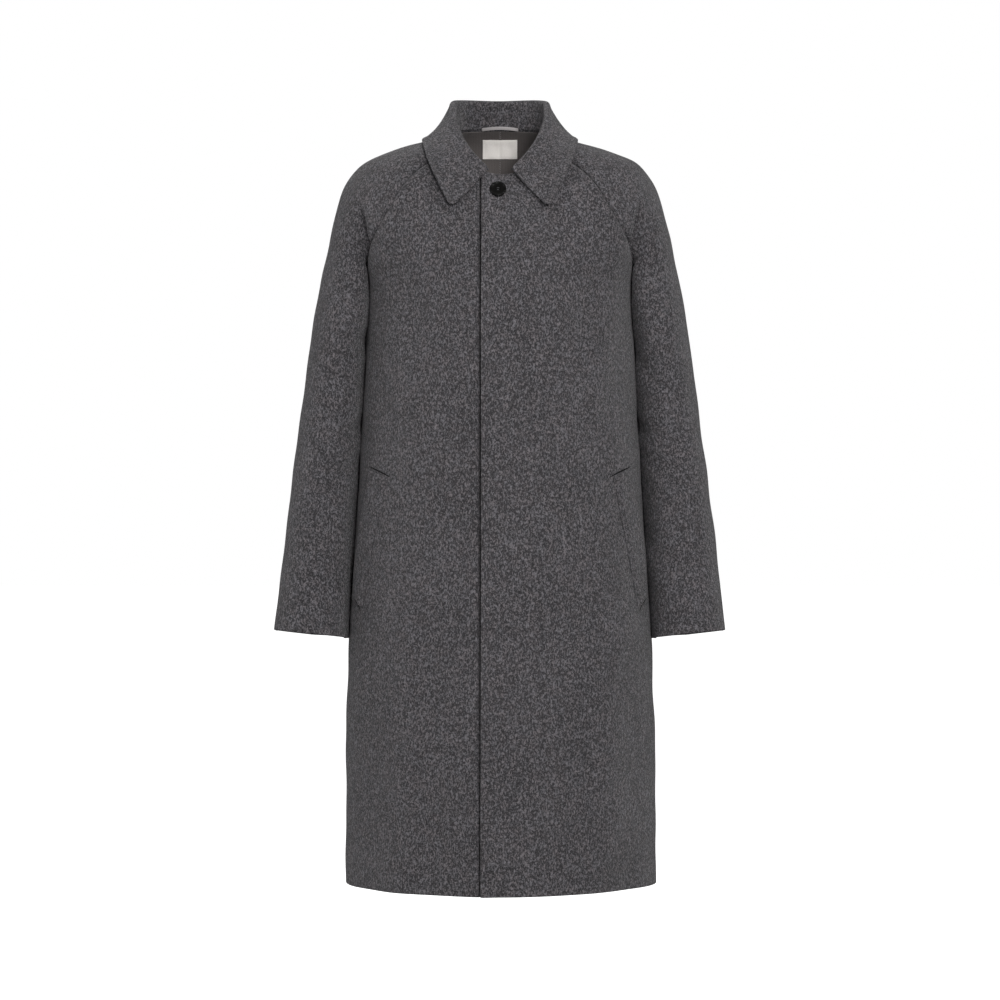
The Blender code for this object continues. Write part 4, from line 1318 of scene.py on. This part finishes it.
@lru_cache(maxsize=None)
def polished_horn():
    """Black polished horn with faint brown clouds and fine scratches."""
    made, tree, shader = principled("polished horn", 0.22, specular=0.10)
    shader.inputs["Coat Weight"].default_value = 0.08
    shader.inputs["Coat Roughness"].default_value = 0.08
    place = object_place(tree)
    cloud = noise_in(tree, place, 160.0, 4.0, Distortion=1.5)
    ramp = node_in(tree, "ShaderNodeValToRGB", {"Fac": cloud})
    horn = trim_settings().horn
    ramp.color_ramp.elements[0].color = opaque(horn, 0.7)
    ramp.color_ramp.elements[1].color = opaque(horn, 2.2)
    tree.links.new(ramp.outputs["Color"], shader.inputs["Base Color"])
    scratch = remap(tree, noise_in(tree, place, 2600.0, 2.0), 0.35, 0.75)
    tree.links.new(weighted(tree, 0.16, scratch, 0.16), shader.inputs["Roughness"])
    return made


STITCH_SIDES = 6
STITCH_SHAPE = ((0.0, 0.35), (0.12, 0.8), (0.5, 1.0), (0.88, 0.8), (1.0, 0.35))
CORD_TIP = 0.12
CORD_FLAT = 0.4


def ring_of(shape, centre, side, out):
    """A ring of points about a centre, spread along two ways."""
    angles = [2 * math.pi * k / STITCH_SIDES for k in range(STITCH_SIDES)]
    return [shape.verts.new(centre + side * math.cos(a) + out * math.sin(a)) for a in angles]


def tube(shape, rings):
    """Rings of points closed into a tube with two ends."""
    for near, far in zip(rings, rings[1:]):
        for k in range(STITCH_SIDES):
            after = (k + 1) % STITCH_SIDES
            shape.faces.new((near[k], near[after], far[after], far[k]))
    shape.faces.new(rings[0][::-1])
    shape.faces.new(rings[-1])


def stitch(shape, start, end, out, radius, arch):
    """One stitch of thread from start to end, arched away from the cloth."""
    start, end, out = Vector(start), Vector(end), Vector(out).normalized()
    side = (end - start).normalized().cross(out).normalized()
    rings = []
    for share, width in STITCH_SHAPE:
        centre = start.lerp(end, share) + out * arch * math.sin(math.pi * share)
        rings.append(ring_of(shape, centre, side * radius * width, out * radius * width))
    tube(shape, rings)


def cord(shape, line, radius):
    """A slim rounded strip along a line of places and normals, tapered to both ends."""
    rings = []
    for k, (centre, out) in enumerate(line):
        way = (line[min(k + 1, len(line) - 1)][0] - line[max(k - 1, 0)][0]).normalized()
        side = way.cross(out).normalized()
        width = radius * max(CORD_TIP, math.sin(math.pi * k / (len(line) - 1)) ** 0.5)
        rings.append(ring_of(shape, centre, side * width, out * CORD_FLAT * width))
    tube(shape, rings)


def mesh_of(name, shape, finish):
    """A mesh from a finished shape, in one material."""
    mesh = bpy.data.meshes.new(name)
    shape.to_mesh(mesh)
    shape.free()
    mesh.materials.append(finish)
    return mesh


def sewn_thread(name, shape, finish):
    """All the stitches of one line as a piece."""
    bmesh.ops.recalc_face_normals(shape, faces=shape.faces)
    mesh = mesh_of(name, shape, finish)
    mesh.shade_smooth()
    placed(name, mesh)


# Radius of the left front's rounded corner at the neck
FRONT_CORNER = 0.014


def sew_panel(name, finish):
    """One panel of the coat with its seams, folds and rolled edges."""
    outer, normal = draped(name)
    seams = {"front_left": ("right",), "front_right": ("left",)}.get(name, ("left", "right"))
    if name == "front_left":
        outer = corner_rounded(outer, FRONT_CORNER, True, False)
    outer = rolled_in(outer, CLOTH, seams)
    return sewn_sheet(
        f"cloth_{name}", name, outer, normal, CLOTH, finish, seams
    )


class COAT_OT_sew_body(bpy.types.Operator):
    """Sews the two fronts and the two backs"""

    bl_idname = "coat.sew_body"
    bl_label = "Sew Body"

    def execute(self, context):
        for side in ("left", "right"):
            sew_panel(f"back_{side}", cashmere())
            sew_panel(f"front_{side}", cashmere())
        return {"FINISHED"}


class COAT_OT_sew_sleeves(bpy.types.Operator):
    """Sews the front and back halves of both raglan sleeves"""

    bl_idname = "coat.sew_sleeves"
    bl_label = "Sew Sleeves"

    def execute(self, context):
        for side in ("left", "right"):
            sew_panel(f"sleeve_front_{side}", cashmere())
            sew_panel(f"sleeve_back_{side}", cashmere())
        return {"FINISHED"}


@lru_cache(maxsize=None)
def collar_grids():
    """Fine outer points of the stand and of the fall rolled over it."""
    resting = tree_of(*[draped(name)[0] for name in panels()[0]])
    seam, roll, edge, radius = collar_lines()
    up = np.array((0, 0, 1))
    outward = unit(roll * (1, 1, 0))
    top = roll - up * radius
    stand_top = between(seam, top, STAND_SHARE)
    stand = np.array([between(seam, stand_top, share) for share in (0, 0.5, 1)])
    rows = [between(stand_top, top, share) for share in (0, 0.5, 1)]
    for degrees in ROLL_TURNS:
        angle = math.radians(degrees)
        rise = up * math.sin(angle) + outward * (1 - math.cos(angle))
        rows.append(top + rise * radius)
    turned = top + outward * radius * 2
    hang = between(turned, edge, FALL_SPREAD) - up * FALL_HANG
    for share in np.linspace(0, 1, FALL_ROWS):
        near, far = between(turned, hang, share), between(hang, edge, share)
        rows.append(between(near, far, share))
    fall = np.array(rows[::-1])
    middle = fall.shape[1] // 2
    stand = refined(stand, run_along(stand[:, middle]), COLLAR_ROW_STEP, COLLAR_CUT)
    leaf_run = run_along(fall[:, middle])
    leaf = len(row_places(leaf_run[:FALL_ROWS], COLLAR_ROW_STEP))
    fall = refined(fall, leaf_run, COLLAR_ROW_STEP, COLLAR_CUT)
    corner = trim_settings().corner
    fall = corner_rounded(fall, corner, False, False)
    fall = corner_rounded(fall, corner, False, True)
    fall[:leaf] = lifted(fall[:leaf], resting, COLLAR_LIFT + COLLAR_CLOTH)
    fall[:leaf] = settled(fall[:leaf])
    return stand, fall


def settled(grid):
    """A grid evened out a little inside its edges."""
    made = grid.copy()
    for _ in range(3):
        inner = (made[:-2, 1:-1] + made[2:, 1:-1] + made[1:-1, :-2] + made[1:-1, 2:]) / 4
        made[1:-1, 1:-1] = between(made[1:-1, 1:-1], inner, 0.5)
    return made


class COAT_OT_sew_collar(bpy.types.Operator):
    """Sews the stand and the turned-down fall of the collar"""

    bl_idname = "coat.sew_collar"
    bl_label = "Sew Collar"

    def execute(self, context):
        stand, fall = collar_grids()
        stand_out, fall_out = normals_of(stand), normals_of(fall)
        stand = drawn_back(rolled_in(stand, CLOTH, ("bottom",)), top=-STAND_LAP)
        sewn_sheet(
            "cloth_collar_stand", "collar_stand", stand, stand_out, CLOTH, cashmere(),
            ("bottom",),
        )
        from_edge = column_run(fall, False)
        edge_puff = 0.0007 * bump(from_edge - 0.004, 0.004) - 0.0004 * bump(from_edge - 0.010, 0.003)
        ahead = eased_in((FALL_LIFT_FROM - fall[:, :, 1]) / FALL_LIFT_RUN)
        edge_lift = FALL_LIFT * np.exp(-from_edge / FALL_LIFT_DECAY) * ahead
        loose = FALL_WAVES * np.clip(column_run(fall, True) / FALL_HELD, 0, 1)
        fall = fall + fall_out * (edge_puff + edge_lift + loose * waviness(fall))[:, :, None]
        fall = rolled_in(fall, COLLAR_CLOTH)
        sewn_sheet(
            "cloth_collar_fall", "collar_fall", fall, fall_out, COLLAR_CLOTH, cashmere(),
        )
        return {"FINISHED"}


def flank_point(z, girth):
    """A point of the left flank at a height and a girth from centre front, and its normal."""
    dense = np.linspace(0, UNDERARM, FINE)
    station = np.interp(z, smooth([section.centre_z for section in FRONT], dense), dense)
    t = np.linspace(0, 1, FINE)
    points = []
    for place in (station - NEARBY, station + NEARBY, station):
        front, = sections_at(FRONT, np.array([place]))
        back, = sections_at(BACK, np.array([place]))
        line = np.concatenate([body_row(front, t), body_row(back, t[::-1])[1:]])
        run = run_along(line)
        for length in (girth, girth + CLOTH):
            points.append([np.interp(length, run, line[:, k]) for k in range(3)])
    below, _, above, _, here, onward = np.array(points)
    return here, unit(np.cross(onward - here, above - below))


WELT_ROWS = 60
WELT_COLUMNS = 22
WELT_SEAM = 0.0120
WELT_SEAM_CLOTH = 0.0009
WELT_CLEAR = 0.0001
WELT_CORNER = 0.006
# Painted shade: dark cords that stand for the shadow in the slits at the top and the foot of each pocket,
# as x and z on the front
SLIT_SHADE_LINES = (
    ((0.1575, -0.4948), (0.1680, -0.4890), (0.1800, -0.4832), (0.1914, -0.4779)),
    ((0.2030, -0.6895), (0.2055, -0.6830), (0.2090, -0.6770), (0.2138, -0.6705)),
)
SLIT_SHADE_STEPS = 24
SLIT_SHADE_RADIUS = 0.0011


class COAT_OT_sew_welts(bpy.types.Operator):
    """Sews the slanted welts of both pockets, standing open a little at their outer edge"""

    bl_idname = "coat.sew_welts"
    bl_label = "Sew Pocket Welts"

    def execute(self, context):
        downs = np.linspace(WELT_LENGTH, 0, WELT_ROWS)
        widths = np.linspace(0, WELT_WIDTH, WELT_COLUMNS)
        slant, level = math.sin(WELT_SLANT), math.cos(WELT_SLANT)
        flank = np.array([
            [
                flank_point(
                    WELT_TOP_Z - down * level + wide * slant,
                    WELT_TOP_GIRTH + down * slant + wide * level,
                )
                for wide in widths
            ]
            for down in downs
        ])
        surface, out = flank[:, :, 0], flank[:, :, 1]
        ends = np.sin(np.linspace(0, math.pi, WELT_ROWS))[:, None]
        gape = WELT_GAPE * ends * (widths / WELT_WIDTH)[None, :] ** 2
        for side in ("left", "right"):
            points, normal = surface, out
            if side == "right":
                points, normal = mirrored(surface), mirrored(out)
            share = eased_in(widths / WELT_SEAM)
            thick = (WELT_SEAM_CLOTH + (CLOTH - WELT_SEAM_CLOTH) * share)[None, :, None]
            lift = WELT_LIFT * share + gape
            if side == "right":
                thick, lift = thick[:, ::-1], lift[:, ::-1]
            resting = lifted(points, body_tree(side), WELT_CLEAR)
            outer = resting + normal * (lift[:, :, None] + thick)
            outer = corner_rounded(outer, WELT_CORNER, True, side == "left")
            outer = rolled_in(outer, CLOTH)
            sewn_sheet(
                f"cloth_pocket_welt_{side}", f"pocket_welt_{side}", outer, normal, thick,
                cashmere(),
            )
            self.mouth(side, tree_of(
                draped(f"front_{side}")[0], draped(f"back_{side}")[0], outer
            ))
        return {"FINISHED"}

    # Lays dark cords along the pocket slits as painted shade
    def mouth(self, side, body):
        shape = bmesh.new()
        for line in SLIT_SHADE_LINES:
            points = []
            for share in np.linspace(0, len(line) - 1, SLIT_SHADE_STEPS):
                x, z = smooth([x for x, _ in line], share), smooth([z for _, z in line], share)
                start = Vector((x if side == "left" else -x, -FAR, z))
                place, out, _, _ = body.ray_cast(start, Vector((0, 1, 0)))
                points.append((place, out))
            cord(shape, points, SLIT_SHADE_RADIUS)
        sewn_thread(f"pocket_mouth_{side}", shape, woven("pocket lining"))


# How the facing stands off the back, and the dip of its centre seam
FACING_SHORT = 0.0010
FACING_CLEAR = 0.0009
FACING_DIP = 0.0004
FACING_DIP_WIDTH = 0.0022
# Stitches down the centre of the facing, left out behind the label
CENTRE_STITCHES = 26
CENTRE_STITCH_DROP = 0.0045
CENTRE_STITCH_STEP = 0.0026
CENTRE_STITCH_LENGTH = 0.0019
CENTRE_STITCH_SLANT = 0.0007
CENTRE_STITCH_CLEAR = 0.0142
CENTRE_THREAD = 0.00045
CENTRE_THREAD_ARCH = 0.0003
# The label's grid, how it puffs up inside its stitched edges, and its thread
LABEL_COLUMNS = 41
LABEL_ROWS = 23
LABEL_PUFF = 0.0006
LABEL_PUFF_SIDE = 0.004
LABEL_PUFF_END = 0.003
LABEL_WAVE = 0.00018
LABEL_WAVE_TURNS = (310, 140)
LABEL_THREAD = 0.00028
LABEL_THREAD_ARCH = 0.0002
# The loop's grid, its ribs and its thread
LOOP_COLUMNS = 49
LOOP_ROWS = 7
LOOP_RIB = 0.00018
LOOP_THREAD = 0.00035
LOOP_THREAD_ARCH = 0.0003


def within(inside, x, z):
    """The point of the back's inner face straight behind x and z."""
    return np.array(inside.ray_cast(Vector((x, 0, z)), Vector((0, 1, 0)))[0])


class COAT_OT_sew_neck(bpy.types.Operator):
    """Sews the facing inside the back neck, its centre seam, the bare label and the loop"""

    bl_idname = "coat.sew_neck"
    bl_label = "Sew Neck Inside"

    def execute(self, context):
        inside = self.facing()
        self.centre_seam(inside)
        self.label(inside)
        self.loop()
        return {"FINISHED"}

    def facing(self):
        half, half_out = (grids["back_left"] for grids in panels())
        lowest = float(sections_at(BACK, np.array([UNDERARM + FACING_FROM]))[0].centre_z)
        first = int(np.searchsorted(half[:, -1, 2], lowest))
        column = np.searchsorted(crowded(BACK_COLUMNS, BACK_CUT, (0, BACK_COLUMNS - 1)), 1.0)
        half, half_out = half[first:, column:], half_out[first:, column:]
        whole = np.concatenate([half, mirrored(half)[:, 1:]], axis=1)
        out = np.concatenate([half_out, mirrored(half_out)[:, 1:]], axis=1)
        whole = drawn_back(whole, top=FACING_SHORT)
        sewn = whole - out * (CLOTH + SEAM_GAP + FACING_CLEAR)
        dip = bump(np.abs(whole[:, :, 0]), FACING_DIP_WIDTH) * FACING_DIP
        sewn = rolled_in(sewn + out * dip[:, :, None], FACING_CLOTH)
        sewn_sheet(
            "cloth_back_neck_facing", "back_neck_facing", sewn, out, FACING_CLOTH,
            woven("facing twill"),
        )
        return tree_of(sewn - out * FACING_CLOTH)

    def centre_seam(self, inside):
        shape = bmesh.new()
        top = BACK[-1].centre_z - CENTRE_STITCH_DROP
        label_middle = BACK[-1].centre_z - LABEL_DROP - LABEL_HEIGHT / 2
        for k in range(CENTRE_STITCHES):
            high = top - k * CENTRE_STITCH_STEP
            low = high - CENTRE_STITCH_LENGTH
            if abs((high + low) / 2 - label_middle) < CENTRE_STITCH_CLEAR:
                continue
            start = within(inside, CENTRE_STITCH_SLANT, high)
            end = within(inside, -CENTRE_STITCH_SLANT, low)
            stitch(shape, start, end, (0, -1, 0), CENTRE_THREAD, CENTRE_THREAD_ARCH)
        sewn_thread("thread_centre_back", shape, woven("pale thread"))

    def label(self, inside):
        places = np.linspace(LABEL_WIDTH / 2, -LABEL_WIDTH / 2, LABEL_COLUMNS)
        levels = BACK[-1].centre_z - LABEL_DROP - np.linspace(LABEL_HEIGHT, 0, LABEL_ROWS)
        label = np.array([[within(inside, x, z) for x in places] for z in levels])
        out = normals_of(label)
        from_side = np.minimum(row_run(label, False), row_run(label, True))
        from_end = np.minimum(column_run(label, False), column_run(label, True))
        puff = LABEL_PUFF * (1 - bump(from_side, LABEL_PUFF_SIDE))
        puff *= 1 - bump(from_end, LABEL_PUFF_END)
        across, down = LABEL_WAVE_TURNS
        puff += LABEL_WAVE * np.sin(label[:, :, 0] * across + label[:, :, 2] * down)
        lifts = LABEL_LIFT + np.maximum(puff, 0)
        label = rolled_in(label - out * lifts[:, :, None], LABEL_CLOTH)
        sewn_sheet(
            "cloth_neck_label", "neck_label", label, out, LABEL_CLOTH, woven("label tape"),
        )
        face = label - out * LABEL_CLOTH
        shape = bmesh.new()
        for column in (2, -3):
            for row in range(2, len(face) - 2, 2):
                start, end = face[row, column], face[row + 1, column]
                stitch(shape, start, end, -out[row, column], LABEL_THREAD, LABEL_THREAD_ARCH)
        sewn_thread("thread_label", shape, woven("label tape"))

    def loop(self):
        along = np.linspace(1, -1, LOOP_COLUMNS)
        seam = body_row(BACK[-1], place_at(BACK[-1], np.abs(along) * LOOP_SPAN / 2))
        bow = 1 - along**2
        strip = np.zeros((LOOP_ROWS, LOOP_COLUMNS, 3))
        strip[:, :, 0] = along * LOOP_SPAN / 2
        strip[:, :, 1] = seam[:, 1] - LOOP_LIFT - LOOP_BOW * bow
        for row, height in enumerate(np.linspace(0, LOOP_HEIGHT, LOOP_ROWS)):
            strip[row, :, 2] = BACK[-1].centre_z - LOOP_DROP + height + LOOP_ARCH * bow
        out = normals_of(strip)
        ribs = LOOP_RIB * np.cos(np.linspace(-1, 1, LOOP_ROWS) * math.pi * 1.5)[:, None]
        strip = rolled_in(strip - out * ribs[:, :, None], LOOP_CLOTH)
        sewn_sheet(
            "cloth_hanger_loop", "hanger_loop", strip, out, LOOP_CLOTH, woven("loop tape"),
        )
        face = strip - out * LOOP_CLOTH
        shape = bmesh.new()
        for column in (1, 2, 3, -2, -3, -4):
            for row in (0, 2, 4):
                start, end = face[row, column], face[row + 2, column]
                stitch(shape, start, end, -out[row, column], LOOP_THREAD, LOOP_THREAD_ARCH)
        sewn_thread("thread_hanger_loop", shape, woven("loop tape"))


BUTTON_SIDES = 72
BUTTON_HOLE_SIDES = 20
BUTTONHOLE_LENGTH = 0.0300
BUTTONHOLE_DROP = math.radians(15.0)
BUTTONHOLE_START = 0.0015
BUTTONHOLE_STITCHES = 34
BUTTONHOLE_WIDTH = 0.0019
# Radius and height shares of the button's side, rim and dish, from its underside
BUTTON_PROFILE = (
    (0.78, 0.00), (0.86, 0.06), (0.94, 0.22), (0.985, 0.42), (1.00, 0.62), (0.99, 0.78),
    (0.96, 0.91), (0.92, 0.98), (0.885, 1.00), (0.85, 0.98), (0.82, 0.90), (0.80, 0.80),
    (0.775, 0.735), (0.74, 0.714),
)


class COAT_OT_sew_button(bpy.types.Operator):
    """Sews on the neck button with its thread, and works the buttonhole beside it"""

    bl_idname = "coat.sew_button"
    bl_label = "Sew Button"

    def execute(self, context):
        face = tree_of(draped("front_left")[0])
        ahead = Vector((0, 1, 0))
        seat, out, _, _ = face.ray_cast(Vector((BUTTON_X, -FAR, BUTTON_Z)), ahead)
        turn = Matrix.Translation(seat + out * SEAM_GAP) @ out.to_track_quat("Z", "Y").to_matrix().to_4x4()
        self.button(turn)
        self.thread(turn)
        self.buttonhole(face)
        return {"FINISHED"}

    def ring(self, shape, radius, height, sides, middle=(0, 0)):
        angles = [2 * math.pi * k / sides for k in range(sides)]
        return [
            shape.verts.new(
                (middle[0] + radius * math.cos(a), middle[1] + radius * math.sin(a), height)
            )
            for a in angles
        ]

    def bridge(self, shape, near, far):
        for (a, b), (c, d) in zip(
            zip(near, near[1:] + near[:1]), zip(far, far[1:] + far[:1])
        ):
            shape.faces.new((a, b, d, c))

    def hole_middles(self):
        spots = []
        for quarter in range(4):
            angle = math.radians(45 + 90 * quarter)
            spots.append((BUTTON_HOLE_SPREAD * math.cos(angle), BUTTON_HOLE_SPREAD * math.sin(angle)))
        return spots

    def button(self, turn):
        shape = bmesh.new()
        rings = [
            self.ring(shape, BUTTON_RADIUS * radius, BUTTON_HEIGHT * height, BUTTON_SIDES)
            for radius, height in BUTTON_PROFILE
        ]
        for near, far in zip(rings, rings[1:]):
            self.bridge(shape, near, far)
        floor = BUTTON_HEIGHT * BUTTON_PROFILE[-1][1]
        soft = 0.00022
        low, high = [rings[0]], [rings[-1]]
        for middle in self.hole_middles():
            lip = self.ring(shape, BUTTON_HOLE_RADIUS + soft, floor, BUTTON_HOLE_SIDES, middle)
            throat = self.ring(shape, BUTTON_HOLE_RADIUS, floor - soft, BUTTON_HOLE_SIDES, middle)
            foot = self.ring(shape, BUTTON_HOLE_RADIUS, 0.0, BUTTON_HOLE_SIDES, middle)
            self.bridge(shape, lip, throat)
            self.bridge(shape, throat, foot)
            low.append(foot)
            high.append(lip)
        for loops in (low, high):
            edges = [
                shape.edges.get(pair) or shape.edges.new(pair)
                for loop in loops
                for pair in zip(loop, loop[1:] + loop[:1])
            ]
            bmesh.ops.triangle_fill(shape, edges=edges, use_beauty=True)
        bmesh.ops.recalc_face_normals(shape, faces=shape.faces)
        bmesh.ops.transform(shape, matrix=turn, verts=shape.verts)
        mesh = mesh_of("horn_button_top", shape, polished_horn())
        mesh.shade_smooth()
        mesh.set_sharp_from_angle(angle=math.radians(40))
        made = placed("horn_button_top", mesh)
        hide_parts("button_top")

    def thread(self, turn):
        shape = bmesh.new()
        floor = BUTTON_HEIGHT * BUTTON_PROFILE[-1][1]
        spots = self.hole_middles()
        across = turn.to_3x3() @ Vector((0, 0, 1))
        for first, second in ((0, 1), (3, 2)):
            for shift in (-0.0004, 0.0, 0.0004):
                start = turn @ Vector((spots[first][0], spots[first][1] + shift, floor - 0.0003))
                end = turn @ Vector((spots[second][0], spots[second][1] + shift, floor - 0.0003))
                stitch(shape, start, end, across, 0.00028, 0.0006)
        sewn_thread("thread_button", shape, woven("sewing thread"))

    def buttonhole(self, face):
        shape = bmesh.new()
        ahead = Vector((0, 1, 0))
        way = Vector((math.cos(BUTTONHOLE_DROP), 0, -math.sin(BUTTONHOLE_DROP)))
        side = Vector((math.sin(BUTTONHOLE_DROP), 0, math.cos(BUTTONHOLE_DROP)))
        start = Vector((BUTTON_X, -FAR, BUTTON_Z)) + way * BUTTONHOLE_START
        for k in range(BUTTONHOLE_STITCHES):
            along = start + way * BUTTONHOLE_LENGTH * k / (BUTTONHOLE_STITCHES - 1)
            for sign in (1, -1):
                near, out, _, _ = face.ray_cast(along + side * sign * 0.00025, ahead)
                far, _, _, _ = face.ray_cast(along + side * sign * BUTTONHOLE_WIDTH, ahead)
                stitch(shape, near + out * 0.0001, far + out * 0.0001, out, 0.00042, 0.0005)
        end = start + way * (BUTTONHOLE_LENGTH + 0.0006)
        for shift in (-0.0012, -0.0004, 0.0004, 0.0012):
            near, out, _, _ = face.ray_cast(end + side * shift, ahead)
            far, _, _, _ = face.ray_cast(end + side * shift + way * 0.0018, ahead)
            stitch(shape, near, far, out, 0.0004, 0.0004)
        sewn_thread("thread_buttonhole", shape, woven("sewing thread"))


FLOOR_REACH = 60.0
FLOOR_CUTS = 24


class COAT_OT_set_stage(bpy.types.Operator):
    """Sets the pale floor, the soft studio light and the camera"""

    bl_idname = "coat.set_stage"
    bl_label = "Set Stage"

    def execute(self, context):
        self.floor()
        self.surround(context.scene)
        self.lights(context.scene)
        self.camera(context.scene)
        return {"FINISHED"}

    def floor(self):
        stage = stage_settings()
        shape = bmesh.new()
        bmesh.ops.create_grid(
            shape, x_segments=FLOOR_CUTS, y_segments=FLOOR_CUTS, size=FLOOR_REACH / 2
        )
        bmesh.ops.translate(shape, vec=(0, 0, stage.floor), verts=shape.verts)
        made, tree, shader = principled("studio paper", 0.9, specular=0.1)
        noise = noise_in(tree, object_place(tree), 6.0, 4.0)
        ramp = node_in(tree, "ShaderNodeValToRGB", {"Fac": noise})
        ramp.color_ramp.elements[0].color = (0.46, 0.46, 0.46, 1.0)
        ramp.color_ramp.elements[1].color = (0.50, 0.50, 0.50, 1.0)
        tree.links.new(ramp.outputs["Color"], shader.inputs["Base Color"])
        shader.inputs["Emission Color"].default_value = (1.0, 1.0, 1.0, 1.0)
        rays = tree.nodes.new("ShaderNodeLightPath")
        tree.links.new(rays.outputs["Is Camera Ray"], shader.inputs["Emission Strength"])
        mesh = mesh_of("studio_floor", shape, made)
        floor = bpy.data.objects.new("studio_floor", mesh)
        bpy.context.scene.collection.objects.link(floor)

    def surround(self, scene):
        world = bpy.data.worlds.new("white studio")
        world.use_nodes = True
        scene.world = world
        tree = world.node_tree
        ground = tree.nodes["Background"]
        ground.inputs["Color"].default_value = (1.0, 1.0, 1.0, 1.0)
        rays = tree.nodes.new("ShaderNodeLightPath")
        level = stage_settings().surround
        strength = weighted(tree, level, rays.outputs["Is Camera Ray"], 1.0 - level)
        tree.links.new(strength, ground.inputs["Strength"])
        scene.view_settings.view_transform = "Standard"

    def lights(self, scene):
        stage = stage_settings()
        middle = Vector((0, 0, -0.42))
        for name, place, width, height, power in (
            ("front", (0.8, -4.5, 0.60), 0.9, 0.9, stage.front),
            ("key", (1.7, -2.9, 2.0), 0.8, 0.8, stage.key),
            ("fill", (-2.8, -2.6, 1.0), 1.8, 1.8, stage.fill),
            ("side_left", (-2.6, 0.9, 0.1), 0.8, 2.6, stage.rim * 2.6),
            ("side_right", (2.6, 1.4, 0.1), 0.8, 2.6, stage.rim * 0.1),
            ("back", (-0.9, 4.4, 0.9), 1.6, 1.6, stage.back),
            ("top", (0.0, -0.4, 2.6), 2.6, 2.0, stage.rim),
        ):
            light = bpy.data.lights.new(name, "AREA")
            light.shape = "RECTANGLE"
            light.size, light.size_y = width, height
            light.energy = power
            made = bpy.data.objects.new(name, light)
            made.location = place
            made.rotation_euler = (middle - made.location).to_track_quat("-Z", "Y").to_euler()
            scene.collection.objects.link(made)

    def camera(self, scene):
        stage = stage_settings()
        lens = bpy.data.cameras.new("camera")
        lens.lens = stage.lens
        lens.sensor_width = 36.0
        lens.clip_end = 200.0
        made = bpy.data.objects.new("camera", lens)
        made.location = (0.0, -stage.distance, stage.height)
        made.rotation_euler = (math.pi / 2, 0.0, 0.0)
        scene.collection.objects.link(made)
        scene.camera = made


class COAT_PT_sidebar(bpy.types.Panel):
    """Lists the coat's settings and the steps that sew it"""

    bl_idname = "COAT_PT_sidebar"
    bl_label = "Cashmere Overcoat"
    bl_space_type = "VIEW_3D"
    bl_region_type = "UI"
    bl_category = "Coat"

    def draw(self, context):
        layout = self.layout
        for group in SETTINGS:
            settings = getattr(context.scene, group)
            box = layout.box()
            for key in settings.bl_rna.properties.keys():
                if key not in ("rna_type", "name"):
                    box.prop(settings, key)
        for step in STEPS:
            layout.operator(step.bl_idname)


SETTINGS = {
    "coat_cloth": CoatCloth,
    "coat_drape": CoatDrape,
    "coat_trim": CoatTrim,
    "coat_stage": CoatStage,
}
STEPS = (
    COAT_OT_sew_body,
    COAT_OT_sew_sleeves,
    COAT_OT_sew_collar,
    COAT_OT_sew_welts,
    COAT_OT_sew_neck,
    COAT_OT_sew_button,
    COAT_OT_set_stage,
)


def register():
    """Adds the settings, the steps and the panel to Blender."""
    for made in (*SETTINGS.values(), *STEPS, COAT_PT_sidebar):
        bpy.utils.register_class(made)
    for name, group in SETTINGS.items():
        setattr(bpy.types.Scene, name, PointerProperty(type=group))


def unregister():
    """Takes the settings, the steps and the panel out of Blender."""
    for name in SETTINGS:
        delattr(bpy.types.Scene, name)
    for made in (COAT_PT_sidebar, *reversed(STEPS), *reversed(SETTINGS.values())):
        bpy.utils.unregister_class(made)


def main():
    """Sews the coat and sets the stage."""
    register()
    bpy.ops.coat.sew_body()
    bpy.ops.coat.sew_sleeves()
    bpy.ops.coat.sew_collar()
    bpy.ops.coat.sew_welts()
    bpy.ops.coat.sew_neck()
    bpy.ops.coat.sew_button()
    bpy.ops.coat.set_stage()


if __name__ == "__main__":
    main()
